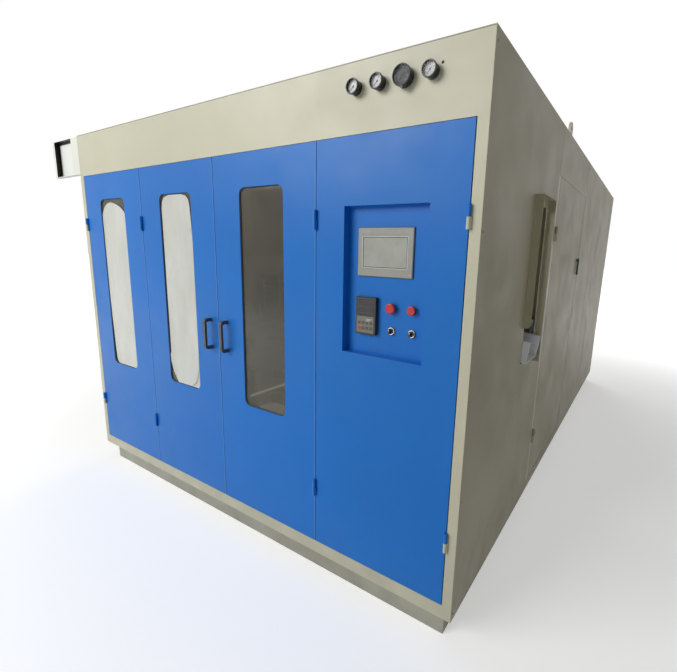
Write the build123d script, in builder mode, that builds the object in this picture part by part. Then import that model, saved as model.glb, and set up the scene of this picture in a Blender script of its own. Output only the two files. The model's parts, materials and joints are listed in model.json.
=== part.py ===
from build123d import *
import math
import os

# Fully enclosed blow moulding machine, in millimetres.
# The origin is on the floor under the middle of the cabinet. +X is to the right of someone who faces
# the folding doors, +Y goes to the rear and +Z up. Preforms stand on the mandrels of a closed chain that
# runs through the oven on the left and back through the press, where bottles are blown neck down.

os.makedirs("parts", exist_ok=True)

# Cabinet
machine_width = 2700.0
machine_depth = 4500.0
machine_height = 2200.0
base_height = 100.0
tube = 38.0
tube_wall = 2.5
sheet = 2.0
sheet_seam = 3.0
sill_height = 60.0
header_height = 248.0
fit_gap = 0.3
slide_gap = 0.05

# Base frame
beam_width = 60.0
beam_wall = 4.0
base_setback = 30.0
base_left_inset = 100.0
base_right_inset = 40.0
front_beam_count = 2
rear_beam_count = 4
anchor_radius = 9.0
anchor_end_distance = 120.0

# Side bays, as distances of the side posts from the front
service_front_distance = 1200.0
service_rear_distance = 2250.0
rear_bay_distance = 3375.0

# Lifting lugs on the roof, one on each side over the press
lug_distance = 1460.0
lug_radius = 15.0
lug_width = 80.0
lug_height = 82.0
lug_thickness = 12.0
lug_corner = 20.0

# Folding doors
door_count = 4
door_gap = 4.0
door_thickness = 25.0
door_skin = 2.0
door_end_gap = 2.0
window_width = 282.0
window_height = 1060.0
window_radius = 35.0
window_from_top = 150.0
pane_thickness = 5.0
pane_depth = 8.0
pane_overlap = 25.0
handle_length = 164.0
handle_reach = 45.0
handle_thickness = 12.0
handle_leg = 17.0
handle_corner = 20.0
handle_width = 18.0
handle_height = 1081.0
handle_from_seam = 65.0

# Weld-on hinges
barrel_radius = 7.0
barrel_half = 40.0
barrel_standoff = 1.0
pin_radius = 4.0
pin_reach = 30.0
hinge_tab = 9.0
hinge_from_bottom = 283.0
hinge_from_top = 302.0

# Control tray in the right-hand door
tray_width = 370.0
tray_height = 582.5
tray_depth = 37.0
tray_sheet = 2.0
tray_from_top = 250.0
screen_left = -11.0
screen_width = 245.0
screen_height = 185.0
screen_proud = 8.0
screen_margin = 24.0
screen_body = 38.0
screen_body_margin = 10.0
controller_width = 95.0
controller_height = 150.0
controller_proud = 20.0
controller_left = -83.0
button_left = 29.0
button_right = 119.0
button_rise = 39.0
button_drop = 50.0
bezel_radius = 15.0
bezel_proud = 8.0
neck_radius = 10.0
estop_radius = 21.0
estop_head = 12.0
estop_edge = 5.4
estop_travel = 4.0
push_radius = 17.5
push_head = 9.0
push_edge = 4.0
push_travel = 3.0
knob_radius = 11.5
knob_base = 4.0
knob_grip = 12.0
knob_grip_width = 8.0
knob_grip_margin = 1.0

# Panel gauges in the header
gauge_from_side = 505.0
gauge_pitch = 101.0
gauge_from_top = 93.0
gauge_radii = (27.0, 27.0, 35.0, 27.0)
gauge_proud = 32.0
gauge_rim = 9.0
gauge_wall = 2.0
gauge_edge = 1.6
gauge_stem_radius = 8.0
gauge_stem = 20.0
gauge_recess = 12.0
dial_thickness = 1.0
lens_thickness = 2.0
needle_thickness = 0.8
needle_lift = 2.0
needle_hub_radius = 2.5
needle_pin_radius = 1.0
needle_margin = 4.0
needle_tail_share = 0.3
needle_rest = 225.0
spare_hole_radius = 5.0
spare_hole_from_side = 168.0
spare_hole_from_top = 72.0

# Preform infeed guard beside the header
guard_length = 366.0
guard_drop = 2.0
guard_height = 228.0
guard_depth = 34.0
guard_lip = 30.0
guard_cover = 92.0
inlet_distance = 70.0
inlet_width = 120.0
inlet_height = 160.0
inlet_from_top = 50.0
rail_bar = 8.0
rail_depth = 40.0
rail_space = 30.0
rail_tie = 10.0
rail_inset = 60.0
rail_start_drop = 140.0
rail_end_height = 60.0
rail_tie_share = 0.9
rail_post = 12.0
rail_arm = 16.0
rail_arm_share = 0.09

# Bottle outlet
outlet_distance = 725.0
outlet_width = 230.0
outlet_bottom = 1000.0
outlet_height = 760.0
hood_margin = 25.0
hood_above = 40.0
hood_below = 30.0
hood_reach = 35.0
hood_notch = 215.0
hood_corner = 25.0
chute_drop = 160.0
chute_lift = 60.0
chute_tip_gap = 5.0
chute_width = 220.0
chute_wall = 110.0
chute_sheet = 3.0
chute_start_gap = 60.0
chute_leg = 20.0
chute_leg_span = 80.0
chute_leg_inset = 100.0
chute_leg_bite = 1.0

# Machine bed and chain
bed_top = 900.0
bed_plate = 30.0
bed_left_margin = 130.0
bed_right_margin = 110.0
bed_front_margin = 35.0
bed_rear_margin = 65.0
leg_size = 100.0
leg_inset = 100.0
chain_radius = 475.0
chain_from_front = 175.0
chain_rear_gap = 143.0
chain_thickness = 24.0
chain_height = 40.0
mandrel_pitch = 127.0
mandrel_radius = 11.0
mandrel_height = 55.0
mandrel_bore = 7.0
sprocket_height = 24.0
sprocket_lift = 8.0
sprocket_shaft = 20.0
sprocket_window = 90.0
sprocket_windows = 6
motor_radius = 90.0
motor_length = 260.0
gearbox_size = 220.0
gearbox_height = 200.0
gearbox_chamfer = 12.0
gearbox_socket = 100.0

# Oven
oven_front_gap = 144.6
oven_end_gap = 30.0
oven_half = 110.0
oven_wall = 30.0
oven_height = 400.0
lamp_radius = 6.0
lamp_count = 6
lamp_first = 100.0
lamp_pitch = 48.0
lamp_wall_gap = 14.0
lamp_cap = 40.0
lamp_cap_half = 10.0
blower_size = 360.0
blower_height = 220.0
blower_wall = 3.0
blower_inlet = 90.0
impeller_radius = 140.0
impeller_height = 110.0
impeller_blades = 8
impeller_lift = 50.0
impeller_shaft = 12.0
impeller_socket = 45.0
blower_motor_height = 90.0
blade_thickness = 4.0
blade_length = 84.0

# Press
press_half = 390.0
press_front_gap = 17.3
end_plate = 50.0
end_inner = 560.0
bridge_bottom = 1440.0
bridge_plate = 40.0
platen = 60.0
platen_half = 360.0
platen_margin = 15.0
mould_depth = 110.0
mould_half = 280.0
mould_bottom = 1010.0
mould_top = 1330.0
mould_travel = 119.7
cavity_count = 4
cavity_radius = 38.0
neck_hole = 13.0
neck_height = 30.0
shoulder_height = 40.0
tie_radius = 25.0
tie_spread = 320.0
tie_level = 1385.0
guide_height = 20.0
guide_width = 30.0
guide_spread = 250.0
guide_inner = 70.0
clamp_radius = 65.0
clamp_gap = 10.0
clamp_rod = 25.0
clamp_above_middle = 40.0
cylinder_end = 12.0
rod_end_gap = 1.0
base_plate_half = 50.0
base_plate_span = 250.0
base_plate_height = 20.0
base_rest = 1380.0
base_plug = 35.0
base_plug_gap = 1.0
lift_radius = 30.0
lift_length = 180.0
lift_rod = 12.0

# Stretch and blow unit under the bed
nozzle_half = 45.0
nozzle_span = 262.0
nozzle_height = 24.0
nozzle_travel = 4.7
nozzle_bore = 9.0
nozzle_block_half = 22.0
nozzle_block_length = 56.0
nozzle_end_length = 34.0
nozzle_guide = 10.0
nozzle_guide_spread = 245.0
nozzle_guide_length = 55.0
nozzle_plate_height = 20.0
nozzle_plate_drop = 25.0
hanger_half = 10.0
window_margin = 6.0
carriage_half = 40.0
carriage_span = 235.0
carriage_bottom = 500.0
carriage_height = 20.0
stretch_rod = 5.0
stretch_rod_gap = 1.0
stretch_tip = 885.0
column_radius = 12.5
column_spread = 215.0
column_bottom = 440.0
stretch_cylinder = 35.0
stretch_piston = 12.0

# Air and electrical equipment
tank_radius = 220.0
tank_corner = 75.0
tank_front_overhang = 480.0
tank_rear_overhang = 140.0
tank_x = 510.0
tank_level = 420.0
saddle_width = 60.0
saddle_half = 155.0
valve_from_press = 30.0
valve_width = 150.0
valve_span = 170.0
valve_height = 120.0
valve_radius = 22.0
valve_reach = 70.0
pipe_radius = 17.0
pipe_from_bed = 60.0
pipe_bend = 70.0
pipe_before_saddle = 200.0
pipe_seat = 2.0
inlet_pipe_radius = 24.15
tail_radius = 16.85
tail_reach = 60.0
tail_step = 2.0
tail_level = 230.0
tail_first = 700.0
tail_pitch = 120.0
pipe_hole_gap = 1.0
manifold_height = 200.0
manifold_margin = 50.0
manifold_overhang = 15.0
enclosure_width = 1060.0
enclosure_depth = 325.0
enclosure_rear_gap = 45.0
enclosure_top_gap = 2.0
enclosure_wall = 2.0
plate_margin = 40.0
mounting_plate = 3.0
drive_count = 4
drive_width = 130.0
drive_height = 320.0
drive_depth = 180.0
contactor_count = 10
contactor_width = 45.0
contactor_height = 90.0
contactor_depth = 90.0
row_gap = 30.0
control_row_count = 3

# Rear sheets and their air slots
rear_sheet_count = 3
slot_length = 240.0
slot_column_pitch = 360.0
slot_height = 8.0
slot_pitch = 28.0
slot_count = 9
slot_margin = 420.0
cable_hole_from_top = 60.0

# Service door handle
latch_from_edge = 60.0
latch_from_top = 450.0
latch_length = 120.0
latch_width = 24.0
latch_proud = 14.0
latch_gap = 6.0
latch_edge = 4.0
spindle_radius = 9.0

# Small edges
edge_break = 1.5
screen_edge = 2.0
screen_corner = 4.0
screen_recess = 1.5

# Values that follow from the ones above
front = -machine_depth / 2
rear = machine_depth / 2
side = machine_width / 2
frame_side = side - sheet
frame_rear = rear - sheet
frame_top = machine_height - sheet
sill_top = base_height + sill_height
header_bottom = machine_height - header_height
opening_half = frame_side - tube
front_plane = Plane.XZ.offset(-front)
door_width = (2 * opening_half - (door_count + 1) * door_gap) / door_count
leaf_bottom = sill_top + door_end_gap
leaf_top = header_bottom - door_end_gap
door_height = leaf_top - leaf_bottom
door_middle = (leaf_top + leaf_bottom) / 2
hinge_levels = (leaf_bottom + hinge_from_bottom, leaf_top - hinge_from_top)
window_middle = leaf_top - window_from_top - window_height / 2
latch_level = leaf_top - latch_from_top
tray_top = leaf_top - tray_from_top
tray_middle = tray_top - tray_height / 2
panel_gap = (tray_height - screen_height - controller_height) / 3
screen_middle = tray_top - panel_gap - screen_height / 2
controller_middle = screen_middle - screen_height / 2 - panel_gap - controller_height / 2
button_upper = controller_middle + button_rise
button_lower = controller_middle - button_drop
tray_face = front + tray_depth
service_front = front + service_front_distance
service_rear = front + service_rear_distance
rear_bay = front + rear_bay_distance
outlet_front = front + outlet_distance
outlet_rear = outlet_front + outlet_width
outlet_top = outlet_bottom + outlet_height
inlet_y = (front + inlet_distance, front + inlet_distance + inlet_width)
inlet_z = (machine_height - inlet_from_top - inlet_height, machine_height - inlet_from_top)
gauge_first = side - gauge_from_side
gauge_level = machine_height - gauge_from_top
chain_x = -chain_radius
chain_front = front + chain_radius + chain_from_front
enclosure_y = (rear - enclosure_rear_gap - enclosure_depth, rear - enclosure_rear_gap)
chain_rear = enclosure_y[0] - chain_rear_gap - chain_thickness / 2 - chain_radius
run_x = chain_x - chain_radius
sprocket_wheel = chain_radius - chain_thickness / 2 - fit_gap
oven_rear = chain_rear - sprocket_wheel - oven_end_gap
oven_front = chain_front + sprocket_wheel + oven_front_gap
press_middle = chain_front + sprocket_wheel + press_front_gap + press_half
press_y = (press_middle - press_half, press_middle + press_half)
clamp_length = -run_x - oven_half - oven_wall - clamp_gap - end_inner - end_plate
valve_left = end_inner + end_plate + valve_from_press
valve_right = valve_left + valve_width
bed_left = run_x - bed_left_margin
bed_right = valve_right + bed_right_margin
bed_front = chain_front - chain_radius - bed_front_margin
bed_rear = chain_rear + chain_radius + bed_rear_margin
left_beam = (-side + base_left_inset, -side + base_left_inset + beam_width)
right_beam = (side - base_right_inset - beam_width, side - base_right_inset)
base_ends = (front + base_setback, rear - base_setback)
cross_first = base_ends[0] + beam_width / 2
cross_last = base_ends[1] - beam_width / 2
front_step = (press_middle - cross_first) / front_beam_count
rear_step = (cross_last - press_middle) / rear_beam_count
cross_beams = [cross_first + place * front_step for place in range(front_beam_count)]
cross_beams += [press_middle + place * rear_step for place in range(rear_beam_count + 1)]


def block(x, y, z, mode=Mode.ADD):
    """Adds a block between the two limits given along each axis."""
    with Locations(((x[0] + x[1]) / 2, (y[0] + y[1]) / 2, (z[0] + z[1]) / 2)):
        Box(x[1] - x[0], y[1] - y[0], z[1] - z[0], mode=mode)


def plate(x, y, z):
    """A separate solid block, as its own part."""
    with BuildPart() as piece:
        block(x, y, z)
    return piece


def hollow_bar(x, y, z, along, wall):
    """A separate rectangular tube, open at the two ends of the axis named in along."""
    inside = {"x": x, "y": y, "z": z}
    for axis, span in inside.items():
        if axis != along:
            inside[axis] = (span[0] + wall, span[1] - wall)
    with BuildPart() as piece:
        block(x, y, z)
        block(inside["x"], inside["y"], inside["z"], mode=Mode.SUBTRACT)
    return piece


def rod(x, y, z, radius, length, direction):
    """A separate round bar that starts at a point and runs along a direction."""
    with BuildPart() as piece:
        with BuildSketch(Plane((x, y, z), z_dir=direction)):
            Circle(radius)
        extrude(amount=length)
    return piece


def write(piece, name):
    """Labels one finished piece and writes its file."""
    piece.part.label = name
    export_step(piece.part, f"parts/{name}.step")


def write_group(pieces, name):
    """Writes several separate solids as one node."""
    group = Compound(label=name, children=[piece.part for piece in pieces])
    export_step(group, f"parts/{name}.step")


# Base frame of rectangular tube with capped ends and four anchor holes
anchor_y = machine_depth / 2 - base_setback - anchor_end_distance
base_pieces = []
for beam in (left_beam, right_beam):
    middle = sum(beam) / 2
    with BuildPart() as skid:
        block(beam, base_ends, (0, base_height))
        inside = (beam[0] + beam_wall, beam[1] - beam_wall)
        inside_ends = (base_ends[0] + beam_wall, base_ends[1] - beam_wall)
        block(inside, inside_ends, (beam_wall, base_height - beam_wall), mode=Mode.SUBTRACT)
        with BuildSketch(Plane.XY):
            with Locations((middle, -anchor_y), (middle, anchor_y)):
                Circle(anchor_radius)
        extrude(amount=base_height, mode=Mode.SUBTRACT)
    base_pieces.append(skid)
for middle in cross_beams:
    across = (middle - beam_width / 2, middle + beam_width / 2)
    base_pieces.append(hollow_bar((left_beam[1], right_beam[0]), across, (0, base_height), "x", beam_wall))
write_group(base_pieces, "base_frame")


# Hinges: the lower half carries the pin, the upper half lifts off it
def hinge_half(x, y, z, tab_x, tab_y, upper):
    """One barrel half around a vertical axis, with the tab that is welded to its carrier."""
    bottom = z if upper else z - barrel_half
    with BuildPart() as half:
        with BuildSketch(Plane.XY.offset(bottom)):
            with Locations((x, y)):
                Circle(barrel_radius)
        extrude(amount=barrel_half - (0 if upper else fit_gap))
        block(tab_x, tab_y, (bottom + fit_gap, bottom + barrel_half - 2 * fit_gap))
        with BuildSketch(Plane.XY.offset(z if upper else z - barrel_half / 2)):
            with Locations((x, y)):
                Circle(pin_radius + (slide_gap if upper else 0))
        if upper:
            extrude(amount=pin_reach + fit_gap, mode=Mode.SUBTRACT)
        else:
            extrude(amount=barrel_half / 2 + pin_reach)
    return half.part


def front_hinges(x, toward, upper):
    """The hinge halves on one vertical seam of the front, welded to the leaf or post on one side."""
    axis_y = front - barrel_radius - barrel_standoff
    tab = sorted((x, x + toward * hinge_tab))
    return [hinge_half(x, axis_y, height, tab, (axis_y, front), upper) for height in hinge_levels]


def side_hinges(y, toward, upper):
    """The hinge halves of the service door on the right-hand side."""
    axis_x = side + barrel_radius + barrel_standoff
    tab = sorted((y, y + toward * hinge_tab))
    return [hinge_half(axis_x, y, height, (side, axis_x), tab, upper) for height in hinge_levels]


left_seam = -opening_half + door_gap / 2
right_seam = opening_half - door_gap / 2
service_seam = service_front + tube / 2 + door_gap / 2

# Cabinet frame: square tube posts and rails, with the lower hinge halves and two lifting lugs
post_left = (-frame_side, -frame_side + tube)
post_right = (frame_side - tube, frame_side)
post_front = (front, front + tube)
post_rear = (frame_rear - tube, frame_rear)
post_z = (base_height, frame_top)
rail_y = (post_front[1], post_rear[0])
rail_x = (post_left[1], post_right[0])
top_z = (frame_top - tube, frame_top)
sill_z = (base_height, sill_top)
bay_z = (sill_top, frame_top - tube)
head_z = (header_bottom, header_bottom + tube)

frame_pieces = []
for across in (post_left, post_right):
    toward = -1 if across is post_left else 1
    seam_x = left_seam if across is post_left else right_seam
    corner = hollow_bar(across, post_front, post_z, "z", tube_wall)
    with BuildPart() as hinged_post:
        add(corner.part)
        add(front_hinges(seam_x, toward, upper=False))
    frame_pieces.append(hinged_post)
    frame_pieces.append(hollow_bar(across, post_rear, post_z, "z", tube_wall))
    frame_pieces.append(hollow_bar(across, rail_y, sill_z, "y", tube_wall))
    frame_pieces.append(hollow_bar(across, rail_y, top_z, "y", tube_wall))
    for middle in (service_front, service_rear, rear_bay):
        along = (middle - tube / 2, middle + tube / 2)
        bay_post = hollow_bar(across, along, bay_z, "z", tube_wall)
        if across is post_right and middle == service_front:
            with BuildPart() as hinged_bay_post:
                add(bay_post.part)
                block((frame_side, side), along, (sill_top, header_bottom))
                add(side_hinges(service_seam, -1, upper=False))
            bay_post = hinged_bay_post
        frame_pieces.append(bay_post)
for along, levels in ((post_front, sill_z), (post_rear, sill_z), (post_rear, top_z)):
    frame_pieces.append(hollow_bar(rail_x, along, levels, "x", tube_wall))
for levels in (top_z, head_z):
    frame_pieces.append(hollow_bar(rail_x, (front + sheet, front + tube), levels, "x", tube_wall))
for middle in (service_front, service_rear, rear_bay):
    frame_pieces.append(hollow_bar(rail_x, (middle - tube / 2, middle + tube / 2), top_z, "x", tube_wall))
service_span = (service_front + tube / 2, service_rear - tube / 2)
frame_pieces.append(hollow_bar(post_right, service_span, head_z, "y", tube_wall))
for across in (post_left, post_right):
    lug_y = front + lug_distance
    with BuildPart() as lug:
        with BuildSketch(Plane.YZ.offset(across[0] + (tube - lug_thickness) / 2)):
            with Locations((lug_y, machine_height)):
                Rectangle(lug_width, lug_height, align=(Align.CENTER, Align.MIN))
            chamfer(vertices().group_by(Axis.Y)[-1], length=lug_corner)
            with Locations((lug_y, machine_height + lug_height / 2)):
                Circle(lug_radius, mode=Mode.SUBTRACT)
        extrude(amount=lug_thickness)
    frame_pieces.append(lug)
write_group(frame_pieces, "cabinet_frame")

# Header sheet with its gauge holes and a spare hole
gauge_places = [gauge_first + place * gauge_pitch for place in range(len(gauge_radii))]
with BuildPart() as header_panel:
    block((-opening_half, opening_half), (front, front + sheet), (header_bottom, frame_top))
    with BuildSketch(front_plane):
        for place in gauge_places:
            with Locations((place, gauge_level)):
                Circle(gauge_stem_radius + slide_gap)
        with Locations((side - spare_hole_from_side, machine_height - spare_hole_from_top)):
            Circle(spare_hole_radius)
    extrude(amount=-sheet, mode=Mode.SUBTRACT)
write(header_panel, "header_panel")

# Fixed side sheets, right and left
side_pieces = []
right_sheet = (frame_side, side)
left_sheet = (-side, -frame_side)
sheet_z = (base_height, frame_top)
bay_limits = [front, service_front, service_rear, rear_bay, rear]
for first, last in zip(bay_limits[:-1], bay_limits[1:]):
    start = first if first == front else first + sheet_seam / 2
    stop = last if last == rear else last - sheet_seam / 2
    with BuildPart() as left_panel:
        block(left_sheet, (start, stop), sheet_z)
        if first == front:
            block(left_sheet, inlet_y, inlet_z, mode=Mode.SUBTRACT)
    side_pieces.append(left_panel)
front_stop = service_front - tube / 2
with BuildPart() as outlet_panel:
    block(right_sheet, (front, front_stop), sheet_z)
    block(right_sheet, (outlet_front, outlet_rear), (outlet_bottom, outlet_top), mode=Mode.SUBTRACT)
side_pieces.append(outlet_panel)
over_door = (front_stop + sheet_seam, service_rear + tube / 2 - sheet_seam)
side_pieces.append(plate(right_sheet, over_door, (header_bottom + sheet_seam, frame_top)))
side_pieces.append(plate(right_sheet, over_door, (base_height, sill_top - sheet_seam)))
rear_start = service_rear - tube / 2 + sheet_seam
for start, stop in ((service_rear + tube / 2, rear_bay - sheet_seam / 2), (rear_bay + sheet_seam / 2, rear)):
    side_pieces.append(plate(right_sheet, (start, stop), sheet_z))
side_pieces.append(
    plate(right_sheet, (rear_start, service_rear + tube / 2 - sheet_seam), (sill_top, header_bottom))
)
write_group(side_pieces, "side_panels")

# Rear sheets: three side by side, with slots for air and holes for the pipes
sheet_step = 2 * frame_side / rear_sheet_count
tails = [tail_first + place * tail_pitch for place in range(2)]
rear_pieces = []
for number in range(rear_sheet_count):
    start = -frame_side + number * sheet_step + (sheet_seam / 2 if number > 0 else 0)
    stop = -frame_side + (number + 1) * sheet_step - (sheet_seam / 2 if number < rear_sheet_count - 1 else 0)
    with BuildPart() as rear_panel:
        block((start, stop), (frame_rear, rear), sheet_z)
        with BuildSketch(Plane.XZ.offset(-frame_rear)):
            if number == 0:
                for level in (slot_margin, machine_height - slot_margin):
                    with Locations(((start + stop) / 2, level)):
                        with GridLocations(slot_column_pitch, slot_pitch, 2, slot_count):
                            SlotOverall(slot_length, slot_height)
            if start < tank_x < stop:
                with Locations((tank_x, tank_level)):
                    Circle(inlet_pipe_radius + tail_step + pipe_hole_gap)
            for tail in tails:
                if start < tail < stop:
                    with Locations((tail, tail_level)):
                        Circle(tail_radius + tail_step + pipe_hole_gap)
            if start < 0 < stop:
                with Locations((0, frame_top - cable_hole_from_top)):
                    Circle(tail_radius)
        extrude(amount=-sheet, mode=Mode.SUBTRACT)
    rear_pieces.append(rear_panel)
write_group(rear_pieces, "rear_panels")

# Roof sheets
roof_pieces = []
for first, last in zip(bay_limits[:-1], bay_limits[1:]):
    start = first if first == front else first + sheet_seam / 2
    stop = last if last == rear else last - sheet_seam / 2
    roof_pieces.append(plate((-side, side), (start, stop), (frame_top, machine_height)))
write_group(roof_pieces, "roof_panels")

# Preform infeed guard: a shallow folded tray beside the header, open to the front
guard_x = (-side - guard_length, -side)
guard_z = (frame_top - guard_drop - guard_height, frame_top - guard_drop)
with BuildPart() as infeed_guard:
    block(guard_x, (front, front + guard_depth + sheet), guard_z)
    inside_x = (guard_x[0] + sheet, guard_x[1])
    inside_z = (guard_z[0] + sheet, guard_z[1] - sheet)
    block(inside_x, (front + sheet, front + guard_depth), inside_z, mode=Mode.SUBTRACT)
    mouth_x = (guard_x[0] + guard_lip, guard_x[1] - guard_cover)
    block(mouth_x, (front, front + sheet), inside_z, mode=Mode.SUBTRACT)
write(infeed_guard, "infeed_guard")

# Preform rail: two flat bars that slope from the inlet in the left side down to the chain, with an arm to
# the frame at the top and a post on the bed
rail_start = Vector(-frame_side + rail_inset, sum(inlet_y) / 2, machine_height - rail_start_drop)
rail_end_z = bed_top + chain_height + mandrel_height + rail_end_height
rail_end = Vector(run_x, chain_front, rail_end_z)
rail_way = rail_end - rail_start
rail_across = Vector(rail_way.Y, -rail_way.X, 0).normalized()
rail_outside = rail_space / 2 + rail_bar
post_foot = rail_start + rail_way * rail_tie_share - rail_across * (rail_outside + rail_post / 2)
arm_end = rail_start + rail_way * rail_arm_share + rail_across * (rail_outside - rail_bar / 2)
with BuildPart() as infeed_rail:
    with BuildSketch(Plane(rail_start, x_dir=rail_across, z_dir=rail_way)):
        with GridLocations(rail_space + rail_bar, 0, 2, 1):
            Rectangle(rail_bar, rail_depth)
    extrude(amount=rail_way.length)
    for share in (rail_arm_share, rail_tie_share):
        with BuildSketch(Plane(rail_start + rail_way * share, x_dir=rail_across, z_dir=rail_way)):
            Rectangle(2 * rail_outside, rail_tie, align=(Align.CENTER, Align.MAX))
        extrude(amount=rail_depth)
    arm_x = (arm_end.X - rail_arm / 2, arm_end.X + rail_arm / 2)
    block(arm_x, (front + tube, arm_end.Y), (arm_end.Z - rail_arm / 2, arm_end.Z + rail_arm / 2))
    with BuildSketch(Plane.XY.offset(bed_top)):
        with Locations((post_foot.X, post_foot.Y)):
            Circle(rail_post)
    extrude(amount=post_foot.Z - bed_top)
write(infeed_rail, "infeed_rail")

# Outlet surround: a folded sheet over and beside the bottle outlet, open outwards and below, whose front
# cheek stops short with a rounded corner
hood_x = (side, side + hood_reach)
hood_y = (outlet_front - hood_margin, outlet_rear + hood_margin)
hood_z = (outlet_bottom - hood_below, outlet_top + hood_above)
with BuildPart() as outlet_guard:
    block(hood_x, hood_y, (hood_z[1] - sheet, hood_z[1]))
    block(hood_x, (hood_y[1] - sheet, hood_y[1]), hood_z)
    with BuildSketch(Plane.XZ.offset(-hood_y[0])):
        with Locations((side, hood_z[1])):
            Rectangle(hood_reach, hood_z[1] - hood_z[0] - hood_notch, align=(Align.MIN, Align.MAX))
        fillet(vertices().group_by(Axis.Y)[0].sort_by(Axis.X)[-1], radius=hood_corner)
    extrude(amount=-sheet)
write(outlet_guard, "outlet_guard")

# Outlet chute: a folded trough that slopes from the chain out through the side, on a leg
chute_end = Vector(side + hood_reach - chute_tip_gap, (outlet_front + outlet_rear) / 2, outlet_bottom + chute_lift)
chute_start = Vector(mandrel_radius + chute_start_gap, chute_end.Y, chute_end.Z + chute_drop)
chute_way = chute_end - chute_start
leg_end = bed_right - chute_leg_inset
leg_share = (leg_end - chute_start.X) / chute_way.X
leg_top = chute_start.Z + leg_share * chute_way.Z - chute_wall / 2 + chute_leg_bite
with BuildPart() as outlet_chute:
    leg_y = (chute_start.Y - chute_leg_span / 2, chute_start.Y + chute_leg_span / 2)
    block((leg_end - chute_leg, leg_end), leg_y, (bed_top, leg_top))
    with BuildSketch(Plane(chute_start, x_dir=(0, 1, 0), z_dir=chute_way)):
        Rectangle(chute_width, chute_wall)
    extrude(amount=chute_way.length)
    with BuildSketch(Plane(chute_start, x_dir=(0, 1, 0), z_dir=chute_way)):
        with Locations((0, chute_sheet)):
            Rectangle(chute_width - 2 * chute_sheet, chute_wall)
    extrude(amount=chute_way.length, mode=Mode.SUBTRACT)
write(outlet_chute, "outlet_chute")

# Machine bed: a thick plate on six legs
nozzle_window_x = (-nozzle_half - window_margin, nozzle_half + window_margin)
nozzle_window_y = (press_middle - nozzle_span - window_margin, press_middle + nozzle_span + window_margin)
with BuildPart() as bed_top_plate:
    block((bed_left, bed_right), (bed_front, bed_rear), (bed_top - bed_plate, bed_top))
    block(nozzle_window_x, nozzle_window_y, (bed_top - bed_plate, bed_top), mode=Mode.SUBTRACT)
    with BuildSketch(Plane.XY.offset(bed_top)):
        with Locations((chain_x, chain_front), (chain_x, chain_rear)):
            Circle(sprocket_shaft + slide_gap)
    extrude(amount=-bed_plate, mode=Mode.SUBTRACT)
bed_pieces = [bed_top_plate]
leg_rows = (cross_beams[1], cross_beams[3], cross_beams[5])
for middle in leg_rows:
    for offset in (leg_inset - bed_right, bed_right - leg_inset):
        leg_x = (offset - leg_size / 2, offset + leg_size / 2)
        leg_y = (middle - leg_size / 2, middle + leg_size / 2)
        bed_pieces.append(hollow_bar(leg_x, leg_y, (base_height, bed_top - bed_plate), "z", beam_wall))
write_group(bed_pieces, "machine_bed")

# Preform chain: a closed loop of links with a hollow mandrel on each pitch
straight = chain_rear - chain_front
loop_length = 2 * straight + 2 * math.pi * chain_radius
mandrel_total = round(loop_length / mandrel_pitch)
loop_step = loop_length / mandrel_total


def chain_place(distance):
    """The point on the chain's centre line at a distance from the middle of the press line."""
    run = (press_middle - loop_step / 2 - chain_front + distance) % loop_length
    if run < straight:
        return (0, chain_front + run)
    run -= straight
    half_turn = math.pi * chain_radius
    if run < half_turn:
        angle = run / chain_radius
        return (chain_x + chain_radius * math.cos(angle), chain_rear + chain_radius * math.sin(angle))
    run -= half_turn
    if run < straight:
        return (run_x, chain_rear - run)
    angle = math.pi + (run - straight) / chain_radius
    return (chain_x + chain_radius * math.cos(angle), chain_front + chain_radius * math.sin(angle))


mandrel_points = [chain_place(place * loop_step) for place in range(mandrel_total)]
loop_middle = (chain_x, (chain_front + chain_rear) / 2)
loop_outer = 2 * chain_radius + chain_thickness
loop_inner = 2 * chain_radius - chain_thickness
with BuildPart() as preform_chain:
    with BuildSketch(Plane.XY.offset(bed_top)):
        with Locations(loop_middle):
            SlotOverall(straight + loop_outer, loop_outer, rotation=90)
            SlotOverall(straight + loop_inner, loop_inner, rotation=90, mode=Mode.SUBTRACT)
    extrude(amount=chain_height)
    with BuildSketch(Plane.XY.offset(bed_top + chain_height)):
        with Locations(*mandrel_points):
            Circle(mandrel_radius)
    extrude(amount=mandrel_height)
    with BuildSketch(Plane.XY.offset(bed_top)):
        with Locations(*mandrel_points):
            Circle(mandrel_bore)
    extrude(amount=chain_height + mandrel_height, mode=Mode.SUBTRACT)
write(preform_chain, "preform_chain")


# Chain sprockets on vertical shafts
def sprocket(y, shaft_length):
    """A wheel with round windows that fills the inside of the chain's turn."""
    with BuildPart() as piece:
        with BuildSketch(Plane.XY.offset(bed_top + sprocket_lift)):
            with Locations((chain_x, y)):
                Circle(sprocket_wheel)
                with PolarLocations((sprocket_wheel + 2 * sprocket_shaft) / 2, sprocket_windows):
                    Circle(sprocket_window, mode=Mode.SUBTRACT)
        extrude(amount=sprocket_height)
        with BuildSketch(Plane.XY.offset(bed_top + fit_gap)):
            with Locations((chain_x, y)):
                Circle(2 * sprocket_shaft)
        extrude(amount=chain_height)
        with BuildSketch(Plane.XY.offset(bed_top + fit_gap)):
            with Locations((chain_x, y)):
                Circle(sprocket_shaft)
        extrude(amount=-shaft_length)
    return piece


write(sprocket(chain_rear, bed_plate + gearbox_socket), "drive_sprocket")
write(sprocket(chain_front, bed_plate), "idler_sprocket")

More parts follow.
